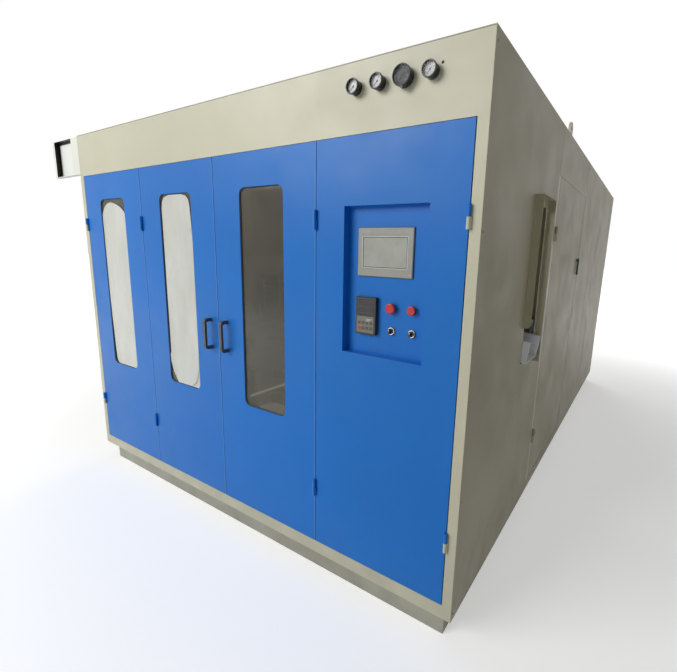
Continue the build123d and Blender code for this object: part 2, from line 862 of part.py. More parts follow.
# Gearbox and motor of the chain, under the bed
with BuildPart() as chain_motor:
    half = gearbox_size / 2
    box_z = (bed_top - bed_plate - gearbox_height, bed_top - bed_plate)
    block((chain_x - half, chain_x + half), (chain_rear - half, chain_rear + half), box_z)
    chamfer(edges().filter_by(Axis.Z), length=gearbox_chamfer)
    with BuildSketch(Plane.XY.offset(box_z[0])):
        with Locations((chain_x, chain_rear)):
            Circle(motor_radius)
    extrude(amount=-motor_length)
    with BuildSketch(Plane.XY.offset(box_z[1])):
        with Locations((chain_x, chain_rear)):
            Circle(sprocket_shaft + slide_gap)
    extrude(amount=-gearbox_socket - fit_gap, mode=Mode.SUBTRACT)
write(chain_motor, "chain_motor")

# Oven over the chain's left run: lamp wall, reflector wall and roof
oven_z = (bed_top, bed_top + oven_height)
oven_y = (oven_front, oven_rear)
lamp_wall_x = (run_x - oven_half - oven_wall, run_x - oven_half)
mirror_wall_x = (run_x + oven_half, run_x + oven_half + oven_wall)
roof_x = (lamp_wall_x[0], mirror_wall_x[1])
roof_z = (oven_z[1], oven_z[1] + oven_wall)
blower_middle = (run_x, (oven_front + oven_rear) / 2)
with BuildPart() as oven_roof:
    block(roof_x, oven_y, roof_z)
    with BuildSketch(Plane.XY.offset(roof_z[1])):
        with Locations(blower_middle):
            Circle(blower_inlet)
    extrude(amount=-oven_wall, mode=Mode.SUBTRACT)
oven_pieces = [oven_roof, plate(lamp_wall_x, oven_y, oven_z), plate(mirror_wall_x, oven_y, oven_z)]
write_group(oven_pieces, "oven_housing")

# Infrared lamps: quartz tubes between end caps on the lamp wall
lamp_pieces = []
lamp_x = lamp_wall_x[1] + lamp_wall_gap
for place in range(lamp_count):
    level = bed_top + lamp_first + place * lamp_pitch
    with BuildPart() as lamp:
        with BuildSketch(Plane((lamp_x, oven_front + lamp_cap, level), z_dir=(0, 1, 0))):
            Circle(lamp_radius)
        extrude(amount=oven_rear - oven_front - 2 * lamp_cap)
        for cap_middle in (oven_front + lamp_cap, oven_rear - lamp_cap):
            cap_y = (cap_middle - lamp_cap_half, cap_middle + lamp_cap_half)
            cap_z = (level - lamp_cap_half, level + lamp_cap_half)
            block((lamp_wall_x[1], lamp_x + lamp_cap_half), cap_y, cap_z)
    lamp_pieces.append(lamp)
write_group(lamp_pieces, "oven_lamps")

# Hot air blower on the oven roof
blower_z = (roof_z[1], roof_z[1] + blower_height)
half = blower_size / 2
blower_x = (blower_middle[0] - half, blower_middle[0] + half)
blower_y = (blower_middle[1] - half, blower_middle[1] + half)
with BuildPart() as blower_housing:
    block(blower_x, blower_y, blower_z)
    hollow_x = (blower_x[0] + blower_wall, blower_x[1] - blower_wall)
    hollow_y = (blower_y[0] + blower_wall, blower_y[1] - blower_wall)
    block(hollow_x, hollow_y, (blower_z[0] + blower_wall, blower_z[1] - blower_wall), mode=Mode.SUBTRACT)
    with BuildSketch(Plane.XY.offset(blower_z[0])):
        with Locations(blower_middle):
            Circle(blower_inlet)
    extrude(amount=blower_wall, mode=Mode.SUBTRACT)
    with BuildSketch(Plane.XY.offset(blower_z[1])):
        with Locations(blower_middle):
            Circle(motor_radius)
    extrude(amount=blower_motor_height)
    with BuildSketch(Plane.XY.offset(blower_z[1] - blower_wall)):
        with Locations(blower_middle):
            Circle(impeller_shaft + slide_gap)
    extrude(amount=blower_wall + impeller_socket, mode=Mode.SUBTRACT)
write(blower_housing, "blower_housing")

impeller_z = blower_z[0] + impeller_lift
with BuildPart() as blower_impeller:
    with BuildSketch(Plane.XY.offset(impeller_z)):
        with Locations(blower_middle):
            Circle(impeller_radius)
    extrude(amount=blade_thickness)
    with BuildSketch(Plane.XY.offset(impeller_z)):
        with Locations(blower_middle):
            with PolarLocations(impeller_radius - blade_length / 2, impeller_blades):
                Rectangle(blade_length, blade_thickness)
    extrude(amount=impeller_height)
    with BuildSketch(Plane.XY.offset(impeller_z)):
        with Locations(blower_middle):
            Circle(impeller_shaft)
    extrude(amount=blower_z[1] + impeller_socket - fit_gap - impeller_z)
write(blower_impeller, "blower_impeller")

# Press frame: two end plates, the bridge over them and the rails under the platens
plate_z = (bed_top, bridge_bottom)
bar_y = (press_middle - tie_spread, press_middle + tie_spread)
platen_level = (bed_top + guide_height + fit_gap, bridge_bottom - platen_margin)
clamp_level = (mould_bottom + mould_top) / 2 + clamp_above_middle
press_pieces = []
for toward in (-1, 1):
    across = sorted((toward * end_inner, toward * (end_inner + end_plate)))
    with BuildPart() as end_piece:
        block(across, press_y, plate_z)
        with BuildSketch(Plane.YZ.offset(across[0])):
            with Locations((bar_y[0], tie_level), (bar_y[1], tie_level)):
                Circle(tie_radius)
            with Locations((press_middle, clamp_level)):
                Circle(clamp_rod + slide_gap)
        extrude(amount=end_plate, mode=Mode.SUBTRACT)
    press_pieces.append(end_piece)
    for spread in (-guide_spread, guide_spread):
        rail_x_span = sorted((toward * guide_inner, toward * end_inner))
        rail_y_span = (press_middle + spread - guide_width / 2, press_middle + spread + guide_width / 2)
        press_pieces.append(plate(rail_x_span, rail_y_span, (bed_top, bed_top + guide_height)))
bridge_x = (-end_inner - end_plate, end_inner + end_plate)
with BuildPart() as bridge:
    block(bridge_x, press_y, (bridge_bottom, bridge_bottom + bridge_plate))
    with BuildSketch(Plane.XY.offset(bridge_bottom)):
        with Locations((0, press_middle)):
            Circle(lift_rod + slide_gap)
    extrude(amount=bridge_plate, mode=Mode.SUBTRACT)
press_pieces.append(bridge)
guide_plate_top = bed_top - bed_plate - nozzle_plate_drop
guide_plate_z = (guide_plate_top - nozzle_plate_height, guide_plate_top)
hanger_y = nozzle_span + window_margin
with BuildPart() as nozzle_guide_plate:
    block((-nozzle_half, nozzle_half), nozzle_window_y, guide_plate_z)
    for hanger in (press_middle - hanger_y, press_middle + hanger_y):
        hanger_span = (hanger - hanger_half, hanger + hanger_half)
        block((-nozzle_half, nozzle_half), hanger_span, (guide_plate_z[0], bed_top - bed_plate))
    with BuildSketch(Plane.XY.offset(guide_plate_z[0])):
        with Locations((0, press_middle)):
            with GridLocations(0, 2 * nozzle_guide_spread, 1, 2):
                Circle(nozzle_guide + slide_gap)
            with GridLocations(0, loop_step, 1, cavity_count):
                Circle(stretch_rod + stretch_rod_gap)
            with GridLocations(0, 2 * column_spread, 1, 2):
                Circle(column_radius)
    extrude(amount=nozzle_plate_height, mode=Mode.SUBTRACT)
press_pieces.append(nozzle_guide_plate)
write_group(press_pieces, "press_frame")

# Tie bars across the press, and the columns that guide the stretch carriage
bar_length = 2 * (end_inner + end_plate)
bar_pieces = [rod(-bar_length / 2, y, tie_level, tie_radius, bar_length, (1, 0, 0)) for y in bar_y]
for spread in (-column_spread, column_spread):
    column_length = guide_plate_z[1] - column_bottom
    bar_pieces.append(rod(0, press_middle + spread, column_bottom, column_radius, column_length, (0, 0, 1)))
write_group(bar_pieces, "tie_bars")

# Cylinders: two for the clamp, one for the base moulds and one for the stretch rods
cylinder_pieces = []
for toward in (-1, 1):
    with BuildPart() as clamp_cylinder:
        with BuildSketch(Plane.YZ.offset(toward * (end_inner + end_plate))):
            with Locations((press_middle, clamp_level)):
                Circle(clamp_radius)
        extrude(amount=toward * clamp_length)
        with BuildSketch(Plane.YZ.offset(toward * (end_inner + end_plate))):
            with Locations((press_middle, clamp_level)):
                Circle(clamp_rod + slide_gap)
        extrude(amount=toward * (clamp_length - cylinder_end), mode=Mode.SUBTRACT)
    cylinder_pieces.append(clamp_cylinder)
with BuildPart() as lift_cylinder:
    with BuildSketch(Plane.XY.offset(bridge_bottom + bridge_plate)):
        with Locations((0, press_middle)):
            Circle(lift_radius)
    extrude(amount=lift_length)
    with BuildSketch(Plane.XY.offset(bridge_bottom + bridge_plate)):
        with Locations((0, press_middle)):
            Circle(lift_rod + slide_gap)
    extrude(amount=lift_length - cylinder_end, mode=Mode.SUBTRACT)
cylinder_pieces.append(lift_cylinder)
with BuildPart() as stretch_barrel:
    with BuildSketch(Plane.XY.offset(base_height)):
        with Locations((0, press_middle)):
            Circle(stretch_cylinder)
    extrude(amount=carriage_bottom - fit_gap - base_height)
    with BuildSketch(Plane.XY.offset(base_height + cylinder_end)):
        with Locations((0, press_middle)):
            Circle(stretch_piston + slide_gap)
    extrude(amount=carriage_bottom - base_height, mode=Mode.SUBTRACT)
cylinder_pieces.append(stretch_barrel)
write_group(cylinder_pieces, "air_cylinders")


# Moving platens with their clamp rods, and the mould halves bolted to them
def moving_platen(toward):
    """A platen that slides on the tie bars, drawn open, with its clamp rod behind it."""
    face = mould_travel + fit_gap + mould_depth
    across = sorted((toward * face, toward * (face + platen)))
    with BuildPart() as piece:
        block(across, (press_middle - platen_half, press_middle + platen_half), platen_level)
        with BuildSketch(Plane.YZ.offset(across[0])):
            with Locations((bar_y[0], tie_level), (bar_y[1], tie_level)):
                Circle(tie_radius + slide_gap)
        extrude(amount=platen, mode=Mode.SUBTRACT)
        with BuildSketch(Plane.YZ.offset(toward * (face + platen))):
            with Locations((press_middle, clamp_level)):
                Circle(clamp_rod)
        rod_end = end_inner + end_plate + clamp_length - cylinder_end - rod_end_gap
        extrude(amount=toward * (rod_end - face - platen))
    return piece


def mould_halves(toward):
    """One block with half of each bottle cavity, neck down."""
    face = toward * (mould_travel + fit_gap)
    across = sorted((face, face + toward * mould_depth))
    body_bottom = mould_bottom + neck_height + shoulder_height
    with BuildPart() as piece:
        block(across, (press_middle - mould_half, press_middle + mould_half), (mould_bottom, mould_top))
        for place in range(cavity_count):
            y = press_middle + (place - (cavity_count - 1) / 2) * loop_step
            with BuildSketch(Plane.XY.offset(mould_bottom)):
                with Locations((face, y)):
                    Circle(neck_hole)
            extrude(amount=neck_height, mode=Mode.SUBTRACT)
            with Locations((face, y, mould_bottom + neck_height + shoulder_height / 2)):
                Cone(neck_hole, cavity_radius, shoulder_height, mode=Mode.SUBTRACT)
            with BuildSketch(Plane.XY.offset(body_bottom)):
                with Locations((face, y)):
                    Circle(cavity_radius)
            extrude(amount=mould_top - body_bottom, mode=Mode.SUBTRACT)
    return piece


write(moving_platen(-1), "left_platen")
write(moving_platen(1), "right_platen")
write(mould_halves(-1), "left_moulds")
write(mould_halves(1), "right_moulds")

# Base moulds on their plate, above the cavities
with BuildPart() as base_moulds:
    plate_y = (press_middle - base_plate_span, press_middle + base_plate_span)
    block((-base_plate_half, base_plate_half), plate_y, (base_rest, base_rest + base_plate_height))
    with BuildSketch(Plane.XY.offset(base_rest)):
        with Locations((0, press_middle)):
            with GridLocations(0, loop_step, 1, cavity_count):
                Circle(cavity_radius - base_plug_gap)
    extrude(amount=-base_plug)
    with BuildSketch(Plane.XY.offset(base_rest + base_plate_height)):
        with Locations((0, press_middle)):
            Circle(lift_rod)
    lift_rod_end = bridge_bottom + bridge_plate + lift_length - cylinder_end - rod_end_gap
    extrude(amount=lift_rod_end - base_rest - base_plate_height)
write(base_moulds, "base_moulds")

# Blow nozzles: blocks clamped between two rails in the bed's window, that rise against the chain
nozzle_top = bed_top - fit_gap - nozzle_travel
nozzle_z = (nozzle_top - nozzle_height, nozzle_top)
nozzle_block_x = (-nozzle_block_half, nozzle_block_half)
nozzle_bar_y = (press_middle - nozzle_span, press_middle + nozzle_span)
nozzle_pieces = []
for long_side in ((-nozzle_half, -nozzle_block_half), (nozzle_block_half, nozzle_half)):
    with BuildPart() as nozzle_rail:
        block(long_side, nozzle_bar_y, nozzle_z)
    nozzle_pieces.append(nozzle_rail)
for cavity in range(cavity_count):
    middle = press_middle + (cavity - (cavity_count - 1) / 2) * loop_step
    with BuildPart() as nozzle_block:
        across = (middle - nozzle_block_length / 2, middle + nozzle_block_length / 2)
        block(nozzle_block_x, across, nozzle_z)
        with BuildSketch(Plane.XY.offset(nozzle_top)):
            with Locations((0, middle)):
                Circle(nozzle_bore)
        extrude(amount=-nozzle_height, mode=Mode.SUBTRACT)
    nozzle_pieces.append(nozzle_block)
for toward in (-1, 1):
    outer_end = press_middle + toward * nozzle_span
    end_span = sorted((outer_end, outer_end - toward * nozzle_end_length))
    with BuildPart() as nozzle_end:
        block(nozzle_block_x, end_span, nozzle_z)
    nozzle_pieces.append(nozzle_end)
    with BuildPart() as guide_pin:
        with BuildSketch(Plane.XY.offset(nozzle_z[0])):
            with Locations((0, press_middle + toward * nozzle_guide_spread)):
                Circle(nozzle_guide)
        extrude(amount=-nozzle_guide_length)
    nozzle_pieces.append(guide_pin)
write_group(nozzle_pieces, "blow_nozzle_bar")

# Stretch carriage with its rods, on the columns under the bed
with BuildPart() as stretch_carriage:
    span = (press_middle - carriage_span, press_middle + carriage_span)
    block((-carriage_half, carriage_half), span, (carriage_bottom, carriage_bottom + carriage_height))
    with BuildSketch(Plane.XY.offset(carriage_bottom)):
        with Locations((0, press_middle)):
            with GridLocations(0, 2 * column_spread, 1, 2):
                Circle(column_radius + slide_gap)
    extrude(amount=carriage_height, mode=Mode.SUBTRACT)
    with BuildSketch(Plane.XY.offset(carriage_bottom + carriage_height)):
        with Locations((0, press_middle)):
            with GridLocations(0, loop_step, 1, cavity_count):
                Circle(stretch_rod)
    extrude(amount=stretch_tip - carriage_bottom - carriage_height)
    with BuildSketch(Plane.XY.offset(carriage_bottom)):
        with Locations((0, press_middle)):
            Circle(stretch_piston)
    extrude(amount=-(carriage_bottom - base_height - cylinder_end - rod_end_gap))
write(stretch_carriage, "stretch_carriage")

# High pressure air tank on two saddles
tank_front = cross_beams[4] - tank_front_overhang
tank_rear = cross_beams[5] + tank_rear_overhang
with BuildPart() as tank:
    with BuildSketch(Plane((tank_x, tank_front, tank_level), z_dir=(0, 1, 0))):
        Circle(tank_radius)
    extrude(amount=tank_rear - tank_front)
    fillet(edges().filter_by(GeomType.CIRCLE), radius=tank_corner)
tank_pieces = [tank]
for middle in (cross_beams[4], cross_beams[5]):
    with BuildPart() as saddle:
        across = (middle - saddle_width / 2, middle + saddle_width / 2)
        block((tank_x - saddle_half, tank_x + saddle_half), across, (base_height, tank_level))
        with BuildSketch(Plane((tank_x, across[0], tank_level), z_dir=(0, 1, 0))):
            Circle(tank_radius)
        extrude(amount=saddle_width, mode=Mode.SUBTRACT)
    tank_pieces.append(saddle)
write_group(tank_pieces, "air_tank")

# Blow valves on a manifold beside the press
with BuildPart() as valve_block:
    valve_y = (press_middle - valve_span, press_middle + valve_span)
    block((valve_left, valve_right), valve_y, (bed_top, bed_top + valve_height))
    with BuildSketch(Plane.XY.offset(bed_top + valve_height)):
        with Locations(((valve_left + valve_right) / 2, press_middle)):
            with GridLocations(0, valve_span / 2, 1, cavity_count):
                Circle(valve_radius)
    extrude(amount=valve_reach)
write(valve_block, "valve_block")

# Pipes: tank to valves, air inlet through the rear, and the cooling tails on their manifold
pipe_side = bed_right + pipe_from_bed
pipe_y = cross_beams[4] - pipe_before_saddle
pipe_start = tank_x + tank_radius - pipe_seat
pipe_level = bed_top + valve_height / 2
with BuildPart() as feed_pipe:
    with BuildLine() as feed_path:
        FilletPolyline(
            (pipe_start, pipe_y, tank_level),
            (pipe_side, pipe_y, tank_level),
            (pipe_side, pipe_y, pipe_level),
            (pipe_side, press_middle, pipe_level),
            (valve_right, press_middle, pipe_level),
            radius=pipe_bend,
        )
    with BuildSketch(Plane((pipe_start, pipe_y, tank_level), z_dir=(1, 0, 0))):
        Circle(pipe_radius)
    sweep(path=feed_path.wires()[0])
    with BuildSketch(Plane((tank_x, pipe_y - 2 * pipe_radius, tank_level), z_dir=(0, 1, 0))):
        Circle(tank_radius)
    extrude(amount=4 * pipe_radius, mode=Mode.SUBTRACT)
with BuildPart() as inlet_pipe:
    with BuildSketch(Plane((tank_x, tank_rear, tank_level), z_dir=(0, 1, 0))):
        Circle(inlet_pipe_radius + tail_step)
    extrude(amount=rear + tail_step - tank_rear)
    with BuildSketch(Plane((tank_x, rear, tank_level), z_dir=(0, 1, 0))):
        Circle(inlet_pipe_radius)
    extrude(amount=tail_reach)
manifold_y = (cross_beams[-1] - beam_width / 2, cross_beams[-1] + manifold_overhang)
with BuildPart() as water_manifold:
    manifold_x = (tails[0] - manifold_margin, tails[-1] + manifold_margin)
    block(manifold_x, manifold_y, (base_height, base_height + manifold_height))
    for tail in tails:
        with BuildSketch(Plane((tail, manifold_y[1], tail_level), z_dir=(0, 1, 0))):
            Circle(tail_radius + tail_step)
        extrude(amount=rear + tail_step - manifold_y[1])
        with BuildSketch(Plane((tail, rear, tail_level), z_dir=(0, 1, 0))):
            Circle(tail_radius)
        extrude(amount=tail_reach)
write_group([feed_pipe, inlet_pipe, water_manifold], "air_pipes")

# Electrical enclosure, open to the rear sheets, with the mounting plate and what is on it
with BuildPart() as electrical_enclosure:
    box_x = (left_beam[0], left_beam[0] + enclosure_width)
    enclosure_z = (base_height, header_bottom - enclosure_top_gap)
    block(box_x, enclosure_y, enclosure_z)
    inner_x = (box_x[0] + enclosure_wall, box_x[1] - enclosure_wall)
    inner_z = (enclosure_z[0] + enclosure_wall, enclosure_z[1] - enclosure_wall)
    block(inner_x, (enclosure_y[0] + enclosure_wall, enclosure_y[1]), inner_z, mode=Mode.SUBTRACT)
write(electrical_enclosure, "electrical_enclosure")

plate_back = enclosure_y[0] + enclosure_wall
plate_face = plate_back + mounting_plate
plate_x = (inner_x[0] + plate_margin, inner_x[1] - plate_margin)
plate_levels = (inner_z[0] + plate_margin, inner_z[1] - plate_margin)
device_pieces = [plate(plate_x, (plate_back, plate_face), plate_levels)]
drive_step = (plate_x[1] - plate_x[0]) / drive_count
drive_levels = (plate_levels[1] - row_gap - drive_height, plate_levels[1] - row_gap)
for place in range(drive_count):
    x = plate_x[0] + drive_step / 2 + place * drive_step
    across = (x - drive_width / 2, x + drive_width / 2)
    device_pieces.append(plate(across, (plate_face, plate_face + drive_depth), drive_levels))
contactor_step = (plate_x[1] - plate_x[0]) / contactor_count
row_step = (drive_levels[0] - plate_levels[0]) / (control_row_count + 1)
for row in range(control_row_count):
    row_bottom = plate_levels[0] + (row + 1) * row_step
    levels = (row_bottom, row_bottom + contactor_height)
    for place in range(contactor_count):
        x = plate_x[0] + contactor_step / 2 + place * contactor_step
        across = (x - contactor_width / 2, x + contactor_width / 2)
        device_pieces.append(plate(across, (plate_face, plate_face + contactor_depth), levels))
write_group(device_pieces, "drives_and_plc")


# Folding doors
def leaf_middle(number):
    """The middle of one leaf along X, counted from the left."""
    return -opening_half + door_gap + door_width / 2 + number * (door_width + door_gap)


def leaf_shell(middle):
    """The folded sheet of one leaf, hollow from behind, without its opening."""
    with BuildPart() as shell:
        with BuildSketch(front_plane):
            with Locations((middle, door_middle)):
                Rectangle(door_width, door_height)
        extrude(amount=-door_thickness)
        with BuildSketch(front_plane.offset(-door_skin)):
            with Locations((middle, door_middle)):
                Rectangle(door_width - 2 * door_skin, door_height - 2 * door_skin)
        extrude(amount=-door_thickness, mode=Mode.SUBTRACT)
    return shell.part


def window_leaf(number, hinge_seam, hinge_toward, pin_seam, pin_toward):
    """A leaf with a window whose edge is turned in towards the pane."""
    middle = leaf_middle(number)
    edge_width = window_width + 2 * door_skin
    edge_height = window_height + 2 * door_skin
    with BuildPart() as piece:
        add(leaf_shell(middle))
        with BuildSketch(front_plane):
            with Locations((middle, window_middle)):
                RectangleRounded(edge_width, edge_height, window_radius + door_skin)
        extrude(amount=-pane_depth)
        with BuildSketch(front_plane):
            with Locations((middle, window_middle)):
                RectangleRounded(window_width, window_height, window_radius)
        extrude(amount=-pane_depth, mode=Mode.SUBTRACT)
        add(front_hinges(hinge_seam, hinge_toward, upper=True))
        if pin_seam is not None:
            add(front_hinges(pin_seam, pin_toward, upper=False))
    return piece


def window_pane(number):
    """A pane that lies behind the turned edge of its window."""
    pane_width = window_width + 2 * pane_overlap
    pane_height = window_height + 2 * pane_overlap
    with BuildPart() as piece:
        with BuildSketch(front_plane.offset(-pane_depth)):
            with Locations((leaf_middle(number), window_middle)):
                RectangleRounded(pane_width, pane_height, window_radius)
        extrude(amount=-pane_thickness)
    return piece


def bridge_handle(x):
    """A bridge pull handle with rounded ends, fixed to the face of a leaf."""
    grip_reach = handle_reach - handle_thickness
    with BuildPart() as piece:
        with BuildSketch(Plane.YZ.offset(x - handle_width / 2)):
            with Locations((front - handle_reach / 2, handle_height)):
                Rectangle(handle_reach, handle_length)
            fillet(vertices().group_by(Axis.X)[0], radius=handle_corner)
            with Locations((front - grip_reach / 2, handle_height)):
                Rectangle(grip_reach, handle_length - 2 * handle_leg, mode=Mode.SUBTRACT)
        extrude(amount=handle_width)
    return piece


seams = [leaf_middle(number) + (door_width + door_gap) / 2 for number in range(door_count - 1)]
write(window_leaf(0, left_seam, 1, seams[0], -1), "door_1_panel")
write(window_leaf(1, seams[0], 1, None, 0), "door_2_panel")
write(window_leaf(2, seams[2], -1, None, 0), "door_3_panel")
for number in range(door_count - 1):
    write(window_pane(number), f"door_{number + 1}_pane")
write(bridge_handle(seams[1] - handle_from_seam), "door_2_handle")
write(bridge_handle(seams[1] + handle_from_seam), "door_3_handle")

control_middle = leaf_middle(door_count - 1)
with BuildPart() as door_4_panel:
    add(leaf_shell(control_middle))
    with BuildSketch(front_plane):
        with Locations((control_middle, tray_middle)):
            Rectangle(tray_width, tray_height)
    extrude(amount=-door_skin, mode=Mode.SUBTRACT)
    add(front_hinges(right_seam, -1, upper=True))
    add(front_hinges(seams[2], 1, upper=False))
write(door_4_panel, "door_4_panel")

# Control tray, set into the leaf
tray_plane = Plane.XZ.offset(-tray_face)
screen_place = (control_middle + screen_left, screen_middle)
body_width = screen_width - 2 * screen_body_margin
body_height = screen_height - 2 * screen_body_margin
with BuildPart() as control_tray:
    with BuildSketch(front_plane):
        with Locations((control_middle, tray_middle)):
            Rectangle(tray_width, tray_height)
    extrude(amount=-tray_depth - tray_sheet)
    with BuildSketch(front_plane):
        with Locations((control_middle, tray_middle)):
            Rectangle(tray_width - 2 * tray_sheet, tray_height - 2 * tray_sheet)
    extrude(amount=-tray_depth, mode=Mode.SUBTRACT)
    with BuildSketch(tray_plane):
        with Locations(screen_place):
            Rectangle(body_width, body_height)
    extrude(amount=-tray_sheet, mode=Mode.SUBTRACT)
write(control_tray, "control_tray")

# Touch screen: bezel on the tray, screen set into it, body through the tray
with BuildPart() as touch_screen:
    with BuildSketch(tray_plane):
        with Locations(screen_place):
            RectangleRounded(screen_width, screen_height, screen_corner)
    extrude(amount=screen_proud)
    chamfer(faces().sort_by(Axis.Y)[0].edges(), length=screen_edge)
    with BuildSketch(tray_plane.offset(screen_proud)):
        with Locations(screen_place):
            Rectangle(screen_width - 2 * screen_margin, screen_height - 2 * screen_margin)
    extrude(amount=-screen_recess, mode=Mode.SUBTRACT)
    with BuildSketch(tray_plane):
        with Locations(screen_place):
            Rectangle(body_width, body_height)
    extrude(amount=-screen_body)
write(touch_screen, "touch_screen")

# Temperature controller beside the buttons
with BuildPart() as controller:
    with BuildSketch(tray_plane):
        with Locations((control_middle + controller_left, controller_middle)):
            RectangleRounded(controller_width, controller_height, screen_corner)
    extrude(amount=controller_proud)
    chamfer(faces().sort_by(Axis.Y)[0].edges(), length=edge_break)
write(controller, "controller")

# Bezels, buttons and selector knobs
button_x = (control_middle + button_left, control_middle + button_right)
bezel_pieces = []
for x in button_x:
    for z in (button_upper, button_lower):
        with BuildPart() as bezel:
            with BuildSketch(tray_plane):
                with Locations((x, z)):
                    Circle(bezel_radius)
                    Circle(neck_radius + slide_gap, mode=Mode.SUBTRACT)
            extrude(amount=bezel_proud)
            chamfer(faces().sort_by(Axis.Y)[0].outer_wire().edges(), length=edge_break)
        bezel_pieces.append(bezel)
write_group(bezel_pieces, "button_bezels")


def mushroom(x, radius, head, edge, travel):
    """A round head on a neck that slides in its bezel."""
    with BuildPart() as piece:
        with BuildSketch(tray_plane.offset(travel + fit_gap)):
            with Locations((x, button_upper)):
                Circle(neck_radius)
        extrude(amount=bezel_proud)
        with BuildSketch(tray_plane.offset(bezel_proud + travel + fit_gap)):
            with Locations((x, button_upper)):
                Circle(radius)
        extrude(amount=head)
        fillet(faces().sort_by(Axis.Y)[0].edges(), radius=edge)
    return piece


def selector(x):
    """A selector knob: a round base with a raised grip."""
    with BuildPart() as piece:
        with BuildSketch(tray_plane.offset(fit_gap)):
            with Locations((x, button_lower)):
                Circle(neck_radius)
        extrude(amount=bezel_proud)
        with BuildSketch(tray_plane.offset(bezel_proud + fit_gap)):
            with Locations((x, button_lower)):
                Circle(knob_radius)
        extrude(amount=knob_base)
        with BuildSketch(tray_plane.offset(bezel_proud + fit_gap + knob_base)):
            with Locations((x, button_lower)):
                SlotOverall(2 * (knob_radius - knob_grip_margin), knob_grip_width, rotation=90)
        extrude(amount=knob_grip)
    return piece


write(mushroom(button_x[0], estop_radius, estop_head, estop_edge, estop_travel), "estop_head")
write(mushroom(button_x[1], push_radius, push_head, push_edge, push_travel), "push_button")
write(selector(button_x[0]), "selector_left")
write(selector(button_x[1]), "selector_right")

# Gauges: cup-shaped cases on a stem through the header, with dial, needle and lens
case_pieces = []
dial_pieces = []
lens_pieces = []
dial_depth = gauge_proud - gauge_recess
for number, place in enumerate(gauge_places):
    radius = gauge_radii[number]
    inner = radius - gauge_wall
    with BuildPart() as case:
        with BuildSketch(front_plane):
            with Locations((place, gauge_level)):
                Circle(radius - gauge_wall)
        extrude(amount=gauge_proud - gauge_rim)
        with BuildSketch(front_plane.offset(gauge_proud - gauge_rim)):
            with Locations((place, gauge_level)):
                Circle(radius)
        extrude(amount=gauge_rim)
        fillet(faces().sort_by(Axis.Y)[0].edges(), radius=gauge_edge)
        with BuildSketch(front_plane.offset(gauge_proud)):
            with Locations((place, gauge_level)):
                Circle(inner - gauge_wall)
        extrude(amount=-gauge_recess, mode=Mode.SUBTRACT)
        with BuildSketch(front_plane):
            with Locations((place, gauge_level)):
                Circle(gauge_stem_radius)
        extrude(amount=-gauge_stem)
        with BuildSketch(front_plane.offset(dial_depth)):
            with Locations((place, gauge_level)):
                Circle(needle_pin_radius + slide_gap)
        extrude(amount=-needle_lift, mode=Mode.SUBTRACT)
    case_pieces.append(case)
    with BuildPart() as dial:
        with BuildSketch(front_plane.offset(dial_depth)):
            with Locations((place, gauge_level)):
                Circle(inner - gauge_wall)
                Circle(needle_pin_radius + slide_gap, mode=Mode.SUBTRACT)
        extrude(amount=dial_thickness)
    dial_pieces.append(dial)
    with BuildPart() as lens:
        with BuildSketch(front_plane.offset(gauge_proud - lens_thickness - gauge_wall)):
            with Locations((place, gauge_level)):
                Circle(inner - gauge_wall)
        extrude(amount=lens_thickness)
    lens_pieces.append(lens)
    with BuildPart() as needle:
        with BuildSketch(front_plane.offset(dial_depth - needle_lift + fit_gap)):
            with Locations((place, gauge_level)):
                Circle(needle_pin_radius)
        extrude(amount=2 * needle_lift)
        with BuildSketch(front_plane.offset(dial_depth + needle_lift)):
            with Locations((place, gauge_level)):
                Circle(needle_hub_radius)
        extrude(amount=needle_thickness)
        with BuildSketch(front_plane.offset(dial_depth + needle_lift)):
            reach = inner - gauge_wall - needle_margin
            tail_reach_back = needle_tail_share * reach
            lean = math.radians(needle_rest)
            tip = (place + reach * math.cos(lean), gauge_level + reach * math.sin(lean))
            tail = (place - tail_reach_back * math.cos(lean), gauge_level - tail_reach_back * math.sin(lean))
            across = (-math.sin(lean), math.cos(lean))
            with BuildLine():
                Polyline(
                    tip,
                    (tail[0] + across[0], tail[1] + across[1]),
                    (tail[0] - across[0], tail[1] - across[1]),
                    close=True,
                )
            make_face()
        extrude(amount=needle_thickness)
    write(needle, f"gauge_{number + 1}_needle")
write_group(case_pieces, "gauge_cases")
write_group(dial_pieces, "gauge_dials")
write_group(lens_pieces, "gauge_lenses")

# Service door on the right-hand side, with its swing handle
service_y = (service_front + tube / 2 + door_gap, service_rear - tube / 2 - door_gap)
service_z = (leaf_bottom, leaf_top)
latch_y = service_y[1] - latch_from_edge
with BuildPart() as service_door:
    block((side - door_thickness, side), service_y, service_z)
    inner_y = (service_y[0] + door_skin, service_y[1] - door_skin)
    inner_levels = (service_z[0] + door_skin, service_z[1] - door_skin)
    block((side - door_thickness, side - door_skin), inner_y, inner_levels, mode=Mode.SUBTRACT)
    with BuildSketch(Plane.YZ.offset(side)):
        with Locations((latch_y, latch_level)):
            Circle(spindle_radius + slide_gap)
    extrude(amount=-door_skin, mode=Mode.SUBTRACT)
    add(side_hinges(service_seam, 1, upper=True))
write(service_door, "service_door")

with BuildPart() as service_handle:
    with BuildSketch(Plane.YZ.offset(side - door_skin - latch_gap)):
        with Locations((latch_y, latch_level)):
            Circle(spindle_radius)
    extrude(amount=door_skin + 2 * latch_gap)
    with BuildSketch(Plane.YZ.offset(side + latch_gap)):
        with Locations((latch_y, latch_level - (latch_length - latch_width) / 2)):
            SlotOverall(latch_length, latch_width, rotation=90)
    extrude(amount=latch_proud)
    fillet(faces().sort_by(Axis.X)[-1].edges(), radius=latch_edge)
write(service_handle, "service_handle")
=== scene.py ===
import json
import math

import bmesh
import bpy
from mathutils import Matrix, Vector, noise


